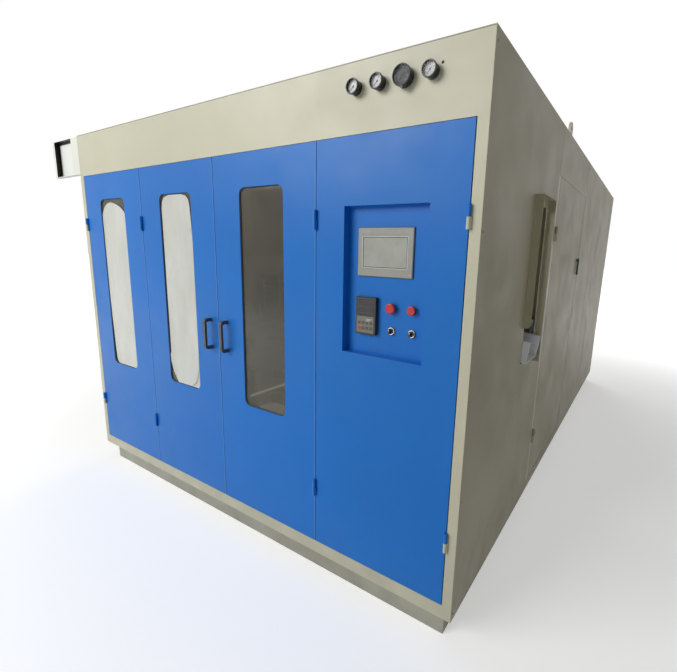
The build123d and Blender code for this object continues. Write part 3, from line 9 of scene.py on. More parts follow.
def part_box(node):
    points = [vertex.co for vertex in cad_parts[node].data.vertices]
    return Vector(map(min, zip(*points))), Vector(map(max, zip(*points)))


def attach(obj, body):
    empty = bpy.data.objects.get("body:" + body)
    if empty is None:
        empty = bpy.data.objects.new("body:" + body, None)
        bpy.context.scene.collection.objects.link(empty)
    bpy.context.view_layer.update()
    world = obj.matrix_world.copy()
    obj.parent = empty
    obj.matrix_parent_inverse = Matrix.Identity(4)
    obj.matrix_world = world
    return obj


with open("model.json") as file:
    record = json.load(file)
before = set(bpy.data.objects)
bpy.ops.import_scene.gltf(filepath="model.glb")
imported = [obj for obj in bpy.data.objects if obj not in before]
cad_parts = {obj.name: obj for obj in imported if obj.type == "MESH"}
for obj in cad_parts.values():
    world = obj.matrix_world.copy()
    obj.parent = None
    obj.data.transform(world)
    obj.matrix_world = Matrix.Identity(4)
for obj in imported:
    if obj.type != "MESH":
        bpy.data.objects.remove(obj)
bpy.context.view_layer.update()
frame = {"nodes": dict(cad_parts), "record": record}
nodes = frame["nodes"]
scene = bpy.context.scene


# Corners and middles of the solids, in metres
def lowest(node):
    """The low corner of a node's box."""
    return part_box(node)[0]


def highest(node):
    """The high corner of a node's box."""
    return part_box(node)[1]


def centre(node):
    """The middle of a node's box."""
    return (lowest(node) + highest(node)) / 2


# Cabinet
FRONT = lowest("roof_panels").y
REAR = highest("roof_panels").y
SIDE = highest("roof_panels").x
TOP = highest("roof_panels").z
# Levels of the painted shade line under the roof sheet's front edge
ROOF_SHADE_LEVELS = (2.1955, 2.1985)
# Band left of each door seam that gets a painted highlight
SEAM_HIGHLIGHT_BAND = (0.0050, 0.0025)
# Depths behind the front over which the window reveals get painted shade
REVEAL_DEPTH = (0.004, 0.009)

# Door leaves and their windows
LEAF_CENTRES = ("door_1_pane", "door_2_pane", "door_3_pane", "control_tray")
LEAF_MIDDLES = [centre(node).x for node in LEAF_CENTRES]
SEAMS = [(first + second) / 2 for first, second in zip(LEAF_MIDDLES[:-1], LEAF_MIDDLES[1:])]
PANE_OVERLAP = 0.025
WINDOW_LEVELS = (lowest("door_1_pane").z + PANE_OVERLAP, highest("door_1_pane").z - PANE_OVERLAP)
WINDOW_HALF = (highest("door_1_pane").x - lowest("door_1_pane").x) / 2 - PANE_OVERLAP
WINDOW_CORNER = 0.035
WINDOW_HEIGHT = WINDOW_LEVELS[1] - WINDOW_LEVELS[0]
PANE_FACE = lowest("door_1_pane").y

# Gauges, each with its place across and the radius of its case
GAUGES = ((0.845, 0.027), (0.946, 0.027), (1.047, 0.035), (1.148, 0.027))
GAUGE_LEVEL = centre("gauge_lenses").z
DIAL_FACE = lowest("gauge_dials").y
DARK_GAUGE = 2
SCALE_START = 225
SCALE_SWEEP = 270

# Control tray
TRAY_FACE = highest("button_bezels").y
TRAY_LEFT = lowest("control_tray").x
BUTTON_X = (centre("estop_head").x, centre("push_button").x)
BUTTON_LEVELS = (centre("estop_head").z, centre("selector_left").z)

# Infeed guard: its outer faces, and the parts of its mouth that get painted shade or are white
GUARD_LEFT = lowest("infeed_guard").x
GUARD_TOP = highest("infeed_guard").z
GUARD_BACK = highest("infeed_guard").y
GUARD_LIP = 0.030
GUARD_MOUTH = 0.0013
GUARD_TOP_STRIP = 0.018
GUARD_PLATE = 0.028
SKIN = (0.0009, 0.0012)
STRIP_EDGE = 0.004

# Sheet screws: rows across, along and up
REAR_SCREW_X = (-1.330, -0.468, -0.431, 0.431, 0.468, 1.330)
SIDE_SCREW_Y = (-2.231, 0.019, 1.106, 1.144, 2.231)
ROOF_SCREW_X = (-1.329, -0.66, 0.0, 0.66, 1.329)
ROOF_SCREW_Y = (-2.231, -1.069, -1.031, -0.019, 0.019, 1.106, 1.144, 2.231)
SCREW_LEVELS = (0.130, 0.62, 1.11, 1.60, 2.16)
SCREW_SIDES = 10

# Camera: its place, its angles in degrees, and the lens in pixels of the picture's width
CAMERA_PLACE = (1.8225, -3.622, 1.533)
YAW = 33.50
PITCH = -11.52
ROLL = 1.55
PICTURE_WIDTH = 677
PICTURE_MIDDLE = 338.5
FOCAL_LENGTH = 421.9
OPTICAL_CENTRE = 365.8
SENSOR_WIDTH = 36.0

# Light
KEY_POWER = 470.0
REAR_POWER = 260.0
CABIN_POWER = 10.0
CABIN_COLOR = (1.0, 0.96, 0.88)
FILL_LIGHT = (0.11, 0.11, 0.115, 1.0)
WHITE = (1.0, 1.0, 1.0, 1.0)
FLOOR_GLOW = 0.45
FLOOR_HALF = 60.0
GLOW_START = 2.5
GLOW_FULL = 6.5


def srgb(red, green, blue):
    """A colour written as 0 to 255 screen values, as linear red, green, blue and alpha."""
    channels = []
    for value in (red, green, blue):
        share = value / 255
        channels.append(share / 12.92 if share <= 0.04045 else ((share + 0.055) / 1.055) ** 2.4)
    return (*channels, 1.0)


def scaled(color, factor):
    """The same colour, lighter or darker."""
    return (min(color[0] * factor, 1.0), min(color[1] * factor, 1.0), min(color[2] * factor, 1.0), 1.0)


# Small helpers that build shader nodes. Most values of a noise lie in NOISE_RANGE
NOISE_RANGE = (0.3, 0.7)


def shader(name):
    """A new material with its node tree and its surface shader."""
    material = bpy.data.materials.new(name)
    material.use_nodes = True
    tree = material.node_tree
    surface = next(node for node in tree.nodes if node.type == "BSDF_PRINCIPLED")
    return material, tree, surface


def object_place(tree):
    """The place on the object, in metres."""
    return tree.nodes.new("ShaderNodeTexCoord").outputs["Object"]


def stretched(tree, place, scale):
    """A place scaled along each axis."""
    mapping = tree.nodes.new("ShaderNodeMapping")
    mapping.inputs["Scale"].default_value = scale
    tree.links.new(place, mapping.inputs["Vector"])
    return mapping.outputs["Vector"]


def cloud(tree, place, scale, detail=4.0, rough=0.6):
    """Soft noise from 0 to 1."""
    texture = tree.nodes.new("ShaderNodeTexNoise")
    texture.inputs["Scale"].default_value = scale
    texture.inputs["Detail"].default_value = detail
    texture.inputs["Roughness"].default_value = rough
    tree.links.new(place, texture.inputs["Vector"])
    return texture.outputs["Fac"]


def spread(tree, value, low, high, to_low, to_high, smooth=False):
    """Maps a value from one range to another, held at both ends."""
    node = tree.nodes.new("ShaderNodeMapRange")
    node.interpolation_type = "SMOOTHSTEP" if smooth else "LINEAR"
    node.inputs["From Min"].default_value = low
    node.inputs["From Max"].default_value = high
    node.inputs["To Min"].default_value = to_low
    node.inputs["To Max"].default_value = to_high
    tree.links.new(value, node.inputs["Value"])
    return node.outputs["Result"]


def mixed(tree, share, first, second):
    """Mixes two colours, each a socket or a written colour."""
    node = tree.nodes.new("ShaderNodeMix")
    node.data_type = "RGBA"
    tree.links.new(share, node.inputs["Factor"])
    for name, color in (("A", first), ("B", second)):
        socket = next(s for s in node.inputs if s.name == name and s.type == "RGBA")
        if isinstance(color, tuple):
            socket.default_value = color
        else:
            tree.links.new(color, socket)
    return next(s for s in node.outputs if s.type == "RGBA")


def product(tree, first, second, mode="MULTIPLY"):
    """One value times another, or another sum of two values."""
    node = tree.nodes.new("ShaderNodeMath")
    node.operation = mode
    for socket, value in zip(node.inputs, (first, second)):
        if isinstance(value, (int, float)):
            socket.default_value = value
        else:
            tree.links.new(value, socket)
    return node.outputs["Value"]


def bumped(tree, surface, height, strength, distance):
    """Feeds a height into the surface's normal."""
    node = tree.nodes.new("ShaderNodeBump")
    node.inputs["Strength"].default_value = strength
    node.inputs["Distance"].default_value = distance
    tree.links.new(height, node.inputs["Height"])
    tree.links.new(node.outputs["Normal"], surface.inputs["Normal"])


def axis_value(tree, place, axis):
    """One coordinate of a place."""
    node = tree.nodes.new("ShaderNodeSeparateXYZ")
    tree.links.new(place, node.inputs["Vector"])
    return node.outputs[axis]


def band(tree, value, low, high, soft):
    """1 between two values of a coordinate, 0 outside, with soft ends."""
    rise = spread(tree, value, low - soft, low, 0.0, 1.0)
    fall = spread(tree, value, high, high + soft, 1.0, 0.0)
    return product(tree, rise, fall)


# Materials
def paint(name, color, rough=0.38, tone=0.05, peel=0.25, grime=0.0, smear=0.0, sheen=0.5):
    """Sprayed paint on sheet metal: slow tone changes, streaks, orange peel, and dust low down."""
    material, tree, surface = shader(name)
    surface.inputs["Specular IOR Level"].default_value = sheen
    place = object_place(tree)
    slow = spread(tree, cloud(tree, place, 1.3, 5.0), *NOISE_RANGE, 0.0, 1.0, smooth=True)
    shade = mixed(tree, slow, scaled(color, 1 - tone), scaled(color, 1 + tone))
    if smear:
        streaks = cloud(tree, stretched(tree, place, (9.0, 9.0, 1.1)), 1.0, 6.0, 0.65)
        shade = mixed(tree, spread(tree, streaks, 0.5, 0.75, 0.0, smear), shade, scaled(color, 0.8))
    if grime:
        low = spread(tree, axis_value(tree, place, "Z"), 0.10, 0.55, 1.0, 0.0, smooth=True)
        patches = spread(tree, cloud(tree, place, 6.0, 6.0), 0.35, 0.75, 0.0, grime)
        shade = mixed(tree, product(tree, low, patches), shade, srgb(120, 112, 95))
    tree.links.new(shade, surface.inputs["Base Color"])
    gloss = spread(tree, cloud(tree, place, 5.0, 4.0), *NOISE_RANGE, rough - 0.06, rough + 0.08)
    tree.links.new(gloss, surface.inputs["Roughness"])
    bumped(tree, surface, cloud(tree, place, 260.0, 2.0), peel, 0.0004)
    return material, tree, surface, shade, place


def metal(name, color, rough=0.35, grain=(4.0, 300.0, 4.0), tone=0.08):
    """Bare metal with a fine brushed or machined grain."""
    material, tree, surface = shader(name)
    place = object_place(tree)
    lines = cloud(tree, stretched(tree, place, grain), 1.0, 5.0, 0.7)
    slow = spread(tree, cloud(tree, place, 3.0, 4.0), *NOISE_RANGE, 0.0, 1.0)
    shade = mixed(tree, slow, scaled(color, 1 - tone), scaled(color, 1 + tone))
    shade = mixed(tree, spread(tree, lines, 0.4, 0.7, 0.0, 0.35), shade, scaled(color, 0.7))
    tree.links.new(shade, surface.inputs["Base Color"])
    surface.inputs["Metallic"].default_value = 1.0
    tree.links.new(spread(tree, lines, *NOISE_RANGE, rough - 0.08, rough + 0.1), surface.inputs["Roughness"])
    bumped(tree, surface, lines, 0.15, 0.0003)
    return material


def plastic(name, color, rough=0.4, grain=500.0, tone=0.06, strength=0.15):
    """Moulded plastic or rubber with a fine grain."""
    material, tree, surface = shader(name)
    place = object_place(tree)
    slow = spread(tree, cloud(tree, place, 25.0, 4.0), *NOISE_RANGE, 0.0, 1.0)
    shade = mixed(tree, slow, scaled(color, 1 - tone), scaled(color, 1 + tone))
    tree.links.new(shade, surface.inputs["Base Color"])
    gloss = spread(tree, cloud(tree, place, 60.0, 3.0), *NOISE_RANGE, rough - 0.05, rough + 0.07)
    tree.links.new(gloss, surface.inputs["Roughness"])
    bumped(tree, surface, cloud(tree, place, grain, 2.0), strength, 0.0002)
    return material


BLUE = srgb(26, 118, 206)
# Pale blue of the painted highlight beside the door seams
SEAM_HIGHLIGHT_BLUE = srgb(150, 190, 225)
BEIGE = srgb(208, 205, 178)
# Darker, warmer copy of BEIGE: painted shade for the sheets that face away from the key lamp
SHADED_SIDE_BEIGE = srgb(190, 184, 156)
# Dark brown of the painted shade under the roof sheet's front edge
ROOF_SHADE_BROWN = srgb(70, 68, 60)
GUARD_WHITE = srgb(240, 241, 228)
PLATE_WHITE = srgb(243, 245, 238)
# Near-black of the painted shade inside the guard's mouth
GUARD_SHADE_DARK = srgb(34, 34, 31)
LOW_SHEEN = 0.25

# Blue doors: a painted highlight beside each seam, and painted shade in the reveals round the windows
door_paint, tree, surface, shade, place = paint("door_paint", BLUE, rough=0.34, smear=0.12, sheen=LOW_SHEEN)
edges = None
# Painted highlight: a pale band on the front face just left of each seam, for the lit edge of the leaf
for seam in SEAMS:
    edge = band(tree, axis_value(tree, place, "X"), seam - SEAM_HIGHLIGHT_BAND[0], seam - SEAM_HIGHLIGHT_BAND[1], 0.0008)
    edges = edge if edges is None else product(tree, edges, edge, "ADD")
on_face = spread(tree, axis_value(tree, place, "Y"), FRONT + 0.0005, FRONT + 0.0015, 1.0, 0.0)
shade = mixed(tree, product(tree, product(tree, edges, on_face), 0.45), shade, SEAM_HIGHLIGHT_BLUE)
# Painted shade: door paint set back from the front face darkens, round the windows but not in the control
# tray
reveal_start, reveal_end = (FRONT + depth for depth in REVEAL_DEPTH)
reveal_shade = spread(tree, axis_value(tree, place, "Y"), reveal_start, reveal_end, 0.0, 0.55)
windows = spread(tree, axis_value(tree, place, "X"), TRAY_LEFT - 0.02, TRAY_LEFT - 0.01, 1.0, 0.0)
shade = mixed(tree, product(tree, reveal_shade, windows), shade, scaled(BLUE, 0.25))
tree.links.new(shade, surface.inputs["Base Color"])

# Beige frame and header: a painted shade line close under the roof sheet's front edge, on the front
frame_paint, tree, surface, shade, place = paint("frame_paint", BEIGE, rough=0.4, tone=0.04, grime=0.25)
# Painted shade: a thin dark line on the front face just under the roof sheet
roof_shade = product(tree, band(tree, axis_value(tree, place, "Z"), *ROOF_SHADE_LEVELS, 0.0005),
              spread(tree, axis_value(tree, place, "Y"), FRONT + 0.001, FRONT + 0.003, 1.0, 0.0))
shade = mixed(tree, product(tree, roof_shade, 0.75), shade, ROOF_SHADE_BROWN)
tree.links.new(shade, surface.inputs["Base Color"])

# Infeed guard: nearly white sheet, with painted shade on the inner left wall and under the top edge of its
# mouth
guard_paint, tree, surface, shade, place = paint("guard_paint", GUARD_WHITE, rough=0.45, tone=0.03)
across, behind, level = (axis_value(tree, place, axis) for axis in "XYZ")
back_plate = spread(tree, behind, FRONT + GUARD_PLATE, FRONT + GUARD_PLATE + 0.002, 0.0, 1.0)
shade = mixed(tree, back_plate, shade, PLATE_WHITE)
# Painted shade: the inner left wall and a strip under the top edge of the mouth go near-black
strip_start = GUARD_LEFT + GUARD_LIP
left_strip = spread(tree, across, strip_start, strip_start + STRIP_EDGE, 1.0, 0.0)
strip_start = GUARD_TOP - GUARD_TOP_STRIP
top_strip = spread(tree, level, strip_start, strip_start + STRIP_EDGE, 0.0, 1.0)
inside = band(tree, behind, FRONT + GUARD_MOUTH, GUARD_BACK - SKIN[1], SKIN[1] - SKIN[0])
inside = product(tree, inside, spread(tree, level, GUARD_TOP - SKIN[1], GUARD_TOP - SKIN[0], 1.0, 0.0))
inside = product(tree, inside, spread(tree, across, GUARD_LEFT + SKIN[0], GUARD_LEFT + SKIN[1], 0.0, 1.0))
dark = product(tree, product(tree, left_strip, top_strip, "MAXIMUM"), inside)
shade = mixed(tree, dark, shade, GUARD_SHADE_DARK)
tree.links.new(shade, surface.inputs["Base Color"])

# Plain materials
# Painted shade: the side sheets take a darker, warmer copy of the front's beige, and the sheet screws use it
# too
shaded_side_paint = paint("shaded_side_paint", SHADED_SIDE_BEIGE, rough=0.46, grime=0.45, smear=0.10, sheen=LOW_SHEEN)[0]
base_paint = paint("base_paint", srgb(172, 172, 158), rough=0.5, tone=0.08, grime=0.5, smear=0.15)[0]
press_paint = paint("press_paint", srgb(190, 193, 190), rough=0.4)[0]
motor_paint = paint("motor_paint", srgb(112, 120, 124), rough=0.45)[0]
tank_paint = paint("tank_paint", srgb(150, 156, 158), rough=0.3)[0]
steel = metal("plain_steel", srgb(186, 188, 190), rough=0.38)
bar_steel = metal("bright_bar", srgb(214, 214, 216), rough=0.18, grain=(300.0, 300.0, 4.0))
alloy = metal("alloy", srgb(206, 208, 210), rough=0.3, grain=(60.0, 60.0, 60.0))
chrome = metal("bezel_chrome", srgb(210, 210, 208), rough=0.16, grain=(80.0, 80.0, 80.0), tone=0.03)
black_plastic = plastic("black_plastic", srgb(38, 38, 40), rough=0.42)
handle_plastic = plastic("handle_plastic", srgb(74, 74, 70), rough=0.38, strength=0.3)
gauge_black = plastic("gauge_black", srgb(30, 30, 31), rough=0.25)
grey_plastic = plastic("grey_plastic", srgb(122, 118, 102), rough=0.45)
bezel_plastic = plastic("screen_bezel", srgb(160, 159, 150), rough=0.4, strength=0.25)
edge_plastic = plastic("screen_edge", srgb(70, 72, 70), rough=0.4)
trim_light = plastic("screen_trim", srgb(226, 226, 214), rough=0.35)
red_plastic = plastic("button_red", srgb(196, 30, 34), rough=0.22, tone=0.08, strength=0.05)
white_plastic = plastic("marker_white", srgb(228, 228, 220), rough=0.35)
device_plastic = plastic("device_grey", srgb(170, 172, 172), rough=0.5)
quartz = plastic("lamp_quartz", srgb(236, 226, 208), rough=0.2)
needle_paint = plastic("needle_black", srgb(18, 18, 18), rough=0.5)
dial_ink = plastic("dial_ink", srgb(118, 118, 114), rough=0.5)
pale_ink = plastic("pale_ink", srgb(150, 150, 142), rough=0.5)

# Dials: white, but for the third gauge's, which is black
dial_paint, tree, surface = shader("dial_paint")
place = object_place(tree)
dark_x, dark_radius = GAUGES[DARK_GAUGE]
dark_reach = dark_radius + 0.001
dark_dial = band(tree, axis_value(tree, place, "X"), dark_x - dark_reach, dark_x + dark_reach, 0.001)
speck = spread(tree, cloud(tree, place, 900.0, 2.0), *NOISE_RANGE, 0.0, 1.0)
plain_dial = mixed(tree, speck, srgb(246, 246, 241), srgb(252, 252, 248))
tree.links.new(mixed(tree, dark_dial, plain_dial, srgb(32, 33, 32)), surface.inputs["Base Color"])
surface.inputs["Roughness"].default_value = 0.55

# Screen surface: pale grey behind a fine matt texture, with a soft uneven sheen
screen_face, tree, surface = shader("screen_face")
place = object_place(tree)
slow = spread(tree, cloud(tree, place, 14.0, 3.0), 0.35, 0.7, 0.0, 1.0)
tree.links.new(mixed(tree, slow, srgb(170, 172, 160), srgb(182, 184, 172)), surface.inputs["Base Color"])
gloss = spread(tree, cloud(tree, place, 40.0, 3.0), *NOISE_RANGE, 0.12, 0.24)
tree.links.new(gloss, surface.inputs["Roughness"])
bumped(tree, surface, cloud(tree, place, 1500.0, 2.0), 0.05, 0.0001)


# Clear lenses of the gauges and tinted sheets of the three windows
def see_through(name, tint, body, cover, rough):
    """A tinted clear sheet: part of the light passes, the rest meets a thin hazy body."""
    material, tree, surface = shader(name)
    place = object_place(tree)
    haze = cloud(tree, stretched(tree, place, (5.0, 5.0, 2.0)), 1.0, 5.0, 0.65)
    shade = mixed(tree, spread(tree, haze, *NOISE_RANGE, 0.0, 1.0), scaled(body, 0.8), scaled(body, 1.2))
    tree.links.new(shade, surface.inputs["Base Color"])
    gloss = spread(tree, cloud(tree, place, 30.0, 3.0), *NOISE_RANGE, rough, rough + 0.05)
    tree.links.new(gloss, surface.inputs["Roughness"])
    clear = tree.nodes.new("ShaderNodeBsdfTransparent")
    clear.inputs["Color"].default_value = tint
    both = tree.nodes.new("ShaderNodeMixShader")
    tree.links.new(spread(tree, haze, *NOISE_RANGE, cover - 0.08, cover + 0.08), both.inputs["Fac"])
    tree.links.new(clear.outputs["BSDF"], both.inputs[1])
    tree.links.new(surface.outputs["BSDF"], both.inputs[2])
    output = next(node for node in tree.nodes if node.type == "OUTPUT_MATERIAL")
    tree.links.new(both.outputs["Shader"], output.inputs["Surface"])
    return material


PANE_TINT = (0.62, 0.60, 0.54, 1.0)
lens_clear = see_through("gauge_glass", WHITE, (0.25, 0.26, 0.26, 1.0), 0.04, 0.03)
pane_smoked = see_through("pane_smoked", PANE_TINT, srgb(104, 101, 88), 0.50, 0.05)
pane_clear = see_through("pane_clear", PANE_TINT, srgb(110, 107, 94), 0.60, 0.05)

# Masking film that still covers two windows: milky, creased, slightly shiny
film, tree, surface = shader("masking_film")
place = object_place(tree)
folds = cloud(tree, stretched(tree, place, (6.0, 6.0, 2.2)), 1.0, 6.0, 0.6)
fine = cloud(tree, stretched(tree, place, (30.0, 30.0, 14.0)), 1.0, 4.0, 0.5)
# The colour follows the folds that also shape the surface: painted shade in their hollows, lighter on their
# ridges
shade = mixed(tree, spread(tree, folds, *NOISE_RANGE, 0.0, 1.0), srgb(206, 207, 195), srgb(224, 225, 217))
shade = mixed(tree, spread(tree, fine, 0.62, 0.75, 0.0, 0.25), shade, srgb(186, 187, 174))
tree.links.new(shade, surface.inputs["Base Color"])
tree.links.new(spread(tree, fine, *NOISE_RANGE, 0.32, 0.5), surface.inputs["Roughness"])
bumped(tree, surface, folds, 0.5, 0.01)

# Dark film colour for the painted shadow line along the fold
film_fold_shadow = plastic("film_fold_shadow", srgb(150, 148, 134), rough=0.5)

# The solids' materials, by slot
slot_materials = {
    "base_grey": base_paint,
    "frame_beige": frame_paint,
    "side_beige": shaded_side_paint,
    "door_blue": door_paint,
    "plain_steel": steel,
    "press_grey": press_paint,
    "bright_bar": bar_steel,
    "cylinder_aluminium": alloy,
    "mould_aluminium": alloy,
    "lamp_quartz": quartz,
    "motor_grey": motor_paint,
    "tank_grey": tank_paint,
    "device_grey": device_plastic,
    "pane_masked": pane_clear,
    "pane_smoked": pane_smoked,
    "handle_black": handle_plastic,
    "screen_grey": bezel_plastic,
    "controller_black": black_plastic,
    "bezel_chrome": chrome,
    "button_red": red_plastic,
    "knob_black": black_plastic,
    "gauge_black": gauge_black,
    "dial_white": dial_paint,
    "gauge_glass": lens_clear,
    "needle_black": needle_paint,
}
for entry in frame["record"]["subparts"]:
    node = nodes[entry["node"]]
    material = slot_materials[entry["material_slot"]]
    if not node.material_slots:
        node.data.materials.append(material)
    for socket in node.material_slots:
        socket.material = material
nodes["infeed_guard"].material_slots[0].material = guard_paint


# Helpers that build meshes
def finished(name, mesh_builder, material, body, bevel=0.0, smooth=True):
    """Makes one piece from a bmesh, gives it its material and lets it ride on a body."""
    mesh = bpy.data.meshes.new(name)
    bmesh.ops.recalc_face_normals(mesh_builder, faces=mesh_builder.faces)
    mesh_builder.to_mesh(mesh)
    mesh_builder.free()
    mesh.materials.append(material)
    piece = bpy.data.objects.new(name, mesh)
    scene.collection.objects.link(piece)
    if bevel:
        edge = piece.modifiers.new("edge", "BEVEL")
        edge.width = bevel
        edge.segments = 3
        edge.limit_method = "ANGLE"
    if smooth:
        mesh.set_sharp_from_angle(angle=math.radians(35))
    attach(piece, body)
    return piece


def add_block(work, x, y, z):
    """Adds a block between two limits along each axis."""
    middle = Vector((sum(x) / 2, sum(y) / 2, sum(z) / 2))
    size = Matrix.Diagonal((x[1] - x[0], y[1] - y[0], z[1] - z[0], 1.0))
    bmesh.ops.create_cube(work, size=1.0, matrix=Matrix.Translation(middle) @ size)


def add_disc(work, x, y, z, radius, depth, segments):
    """Adds a round disc that starts at a point and runs depth towards minus Y."""
    turn = Matrix.Rotation(math.radians(90), 4, "X")
    middle = Vector((x, y - depth / 2, z))
    bmesh.ops.create_cone(work, cap_ends=True, segments=segments, radius1=radius, radius2=radius,
                          depth=depth, matrix=Matrix.Translation(middle) @ turn)


def add_ring(work, x, y, z, inner, outer, depth, segments=48):
    """Adds a flat ring around the Y axis, from y towards minus Y."""
    rows = []
    for radius, level_y in ((inner, y), (outer, y), (outer, y - depth), (inner, y - depth)):
        row = []
        for step in range(segments):
            angle = 2 * math.pi * step / segments
            spot = (x + radius * math.cos(angle), level_y, z + radius * math.sin(angle))
            row.append(work.verts.new(spot))
        rows.append(row)
    for first, second in zip(rows, rows[1:] + rows[:1]):
        for step in range(segments):
            following = (step + 1) % segments
            work.faces.new((first[step], first[following], second[following], second[step]))


def add_strip(work, points, width, y, depth):
    """Adds a flat closed strip along points given as (x, z)."""
    edges = []
    for place_in_row, point in enumerate(points):
        before = points[max(place_in_row - 1, 0)]
        after = points[min(place_in_row + 1, len(points) - 1)]
        run = Vector((after[0] - before[0], after[1] - before[1])).normalized()
        across = Vector((-run.y, run.x)) * width / 2
        corners = []
        for sign, level_y in ((1, y), (1, y - depth), (-1, y - depth), (-1, y)):
            spot = (point[0] + sign * across.x, level_y, point[1] + sign * across.y)
            corners.append(work.verts.new(spot))
        edges.append(corners)
    for first, second in zip(edges[:-1], edges[1:]):
        for corner in range(4):
            following = (corner + 1) % 4
            work.faces.new((first[corner], first[following], second[following], second[corner]))
    work.faces.new(edges[0])
    work.faces.new(list(reversed(edges[-1])))


def add_frame(work, x, z, width, y, depth):
    """Adds a flat rectangular frame of one width, inside the limits given."""
    add_block(work, x, (y - depth, y), (z[0], z[0] + width))
    add_block(work, x, (y - depth, y), (z[1] - width, z[1]))
    add_block(work, (x[0], x[0] + width), (y - depth, y), (z[0] + width, z[1] - width))
    add_block(work, (x[1] - width, x[1]), (y - depth, y), (z[0] + width, z[1] - width))


# Masking film on the first two windows
FILM_ROWS = 130
FILM_COLUMNS = 26
FILM_GAP = 0.0012
FILM_CURL = 0.0022
FILM_WAVE = 0.0005
FILM_THICKNESS = 0.00025
BORDER_SHARE = 0.12


def between(points, at):
    """A value read off (place, value) points, in straight lines between them."""
    for (first, low), (second, high) in zip(points[:-1], points[1:]):
        if first <= at <= second:
            share = (at - first) / (second - first)
            return low + (high - low) * share
    return points[-1][1]


def window_place(middle, across, up):
    """The x and z of a place in a window, given as shares of its width and height."""
    return middle - WINDOW_HALF + 2 * WINDOW_HALF * across, WINDOW_LEVELS[0] + WINDOW_HEIGHT * up


def film_curl(share):
    """How far the film stands off near its border, from a share of the way in."""
    return FILM_CURL * max(0.0, 1 - share / BORDER_SHARE) ** 2


def film_sheet(number, left, right, seed):
    """A thin sheet in front of a pane. left and right give its edges over the height, from 0 to 1."""
    work = bmesh.new()
    middle = LEAF_MIDDLES[number - 1]
    bottom, top = left[0][0], left[-1][0]
    grid = []
    for row in range(FILM_ROWS + 1):
        up = bottom + (top - bottom) * (0.5 - 0.5 * math.cos(math.pi * row / FILM_ROWS))
        edge_left = between(left, up)
        edge_right = between(right, up)
        line = []
        for column in range(FILM_COLUMNS + 1):
            across = edge_left + (edge_right - edge_left) * column / FILM_COLUMNS
            x, z = window_place(middle, across, up)
            from_edge = min(column, FILM_COLUMNS - column) / FILM_COLUMNS
            from_end = min(up - bottom, top - up) * 4
            curl = film_curl(from_edge) + film_curl(from_end)
            wave = noise.noise(Vector((x * 14 + seed, z * 5, seed))) * FILM_WAVE
            line.append(work.verts.new((x, PANE_FACE - FILM_GAP - curl - wave, z)))
        grid.append(line)
    for low, high in zip(grid[:-1], grid[1:]):
        for column in range(FILM_COLUMNS):
            work.faces.new((low[column], low[column + 1], high[column + 1], high[column]))
    piece = finished(f"door_{number}_film", work, film, f"door_{number}")
    skin = piece.modifiers.new("skin", "SOLIDIFY")
    skin.thickness = FILM_THICKNESS
    for polygon in piece.data.polygons:
        polygon.use_smooth = True


# Edges of the two sheets: shares of the window's height, each with a share of its width
film_sheet(
    1,
    [(0.003, 0.25), (0.010, 0.15), (0.030, 0.10), (0.100, 0.07), (0.250, 0.04), (0.400, 0.02),
     (0.910, 0.02), (0.930, 0.05), (0.950, 0.11), (0.965, 0.19), (0.975, 0.28), (0.980, 0.40)],
    [(0.003, 0.88), (0.010, 0.97), (0.030, 0.985), (0.905, 0.985), (0.925, 0.94), (0.945, 0.84),
     (0.962, 0.70), (0.975, 0.54), (0.980, 0.42)],
    seed=3.0,
)
film_sheet(
    2,
    [(0.003, 0.27), (0.020, 0.20), (0.060, 0.10), (0.110, 0.025), (0.158, 0.010), (0.163, 0.045),
     (0.810, 0.045), (0.930, 0.040), (0.965, 0.07), (0.985, 0.15), (0.994, 0.30)],
    [(0.003, 0.93), (0.012, 0.98), (0.030, 0.985), (0.750, 0.985), (0.850, 0.965), (0.930, 0.945),
     (0.965, 0.915), (0.985, 0.84), (0.994, 0.70)],
    seed=11.0,
)

# Painted shadow line along a lifted fold in the second sheet, low on its right
fold = [(0.985, 0.20), (0.975, 0.15), (0.955, 0.10), (0.915, 0.06), (0.850, 0.03), (0.740, 0.008)]
fold_points = [window_place(LEAF_MIDDLES[1], across, up) for across, up in fold]
work = bmesh.new()
add_strip(work, fold_points, 0.0035, PANE_FACE - 0.0032, 0.0004)
finished("door_2_film_fold", work, film_fold_shadow, "door_2", smooth=False)

# Rubber gaskets round the three panes: a section of radius and height, swept round the window
GASKET_SECTION = ((0.0005, 0.0004), (0.0005, 0.0042), (0.0020, 0.0050), (0.0036, 0.0042), (0.0036, 0.0004))
CORNER_STEPS = 8
for number, middle in enumerate(LEAF_MIDDLES[:3]):
    work = bmesh.new()
    outline = []
    for quarter, (x_sign, z_sign) in enumerate(((1, 1), (-1, 1), (-1, -1), (1, -1))):
        centre_x = middle + x_sign * (WINDOW_HALF - WINDOW_CORNER)
        centre_z = sum(WINDOW_LEVELS) / 2 + z_sign * (WINDOW_HEIGHT / 2 - WINDOW_CORNER)
        for step in range(CORNER_STEPS + 1):
            angle = math.radians(90 * quarter + 90 * step / CORNER_STEPS)
            outline.append((centre_x, centre_z, math.cos(angle), math.sin(angle)))
    rings = []
    for inset, height in GASKET_SECTION:
        radius = WINDOW_CORNER - inset
        y = PANE_FACE - height
        rings.append([work.verts.new((px + radius * cx, y, pz + radius * cz)) for px, pz, cx, cz in outline])
    for first, second in zip(rings, rings[1:] + rings[:1]):
        for step in range(len(outline)):
            following = (step + 1) % len(outline)
            work.faces.new((first[step], first[following], second[following], second[step]))
    finished(f"door_{number + 1}_gasket", work, black_plastic, f"door_{number + 1}")


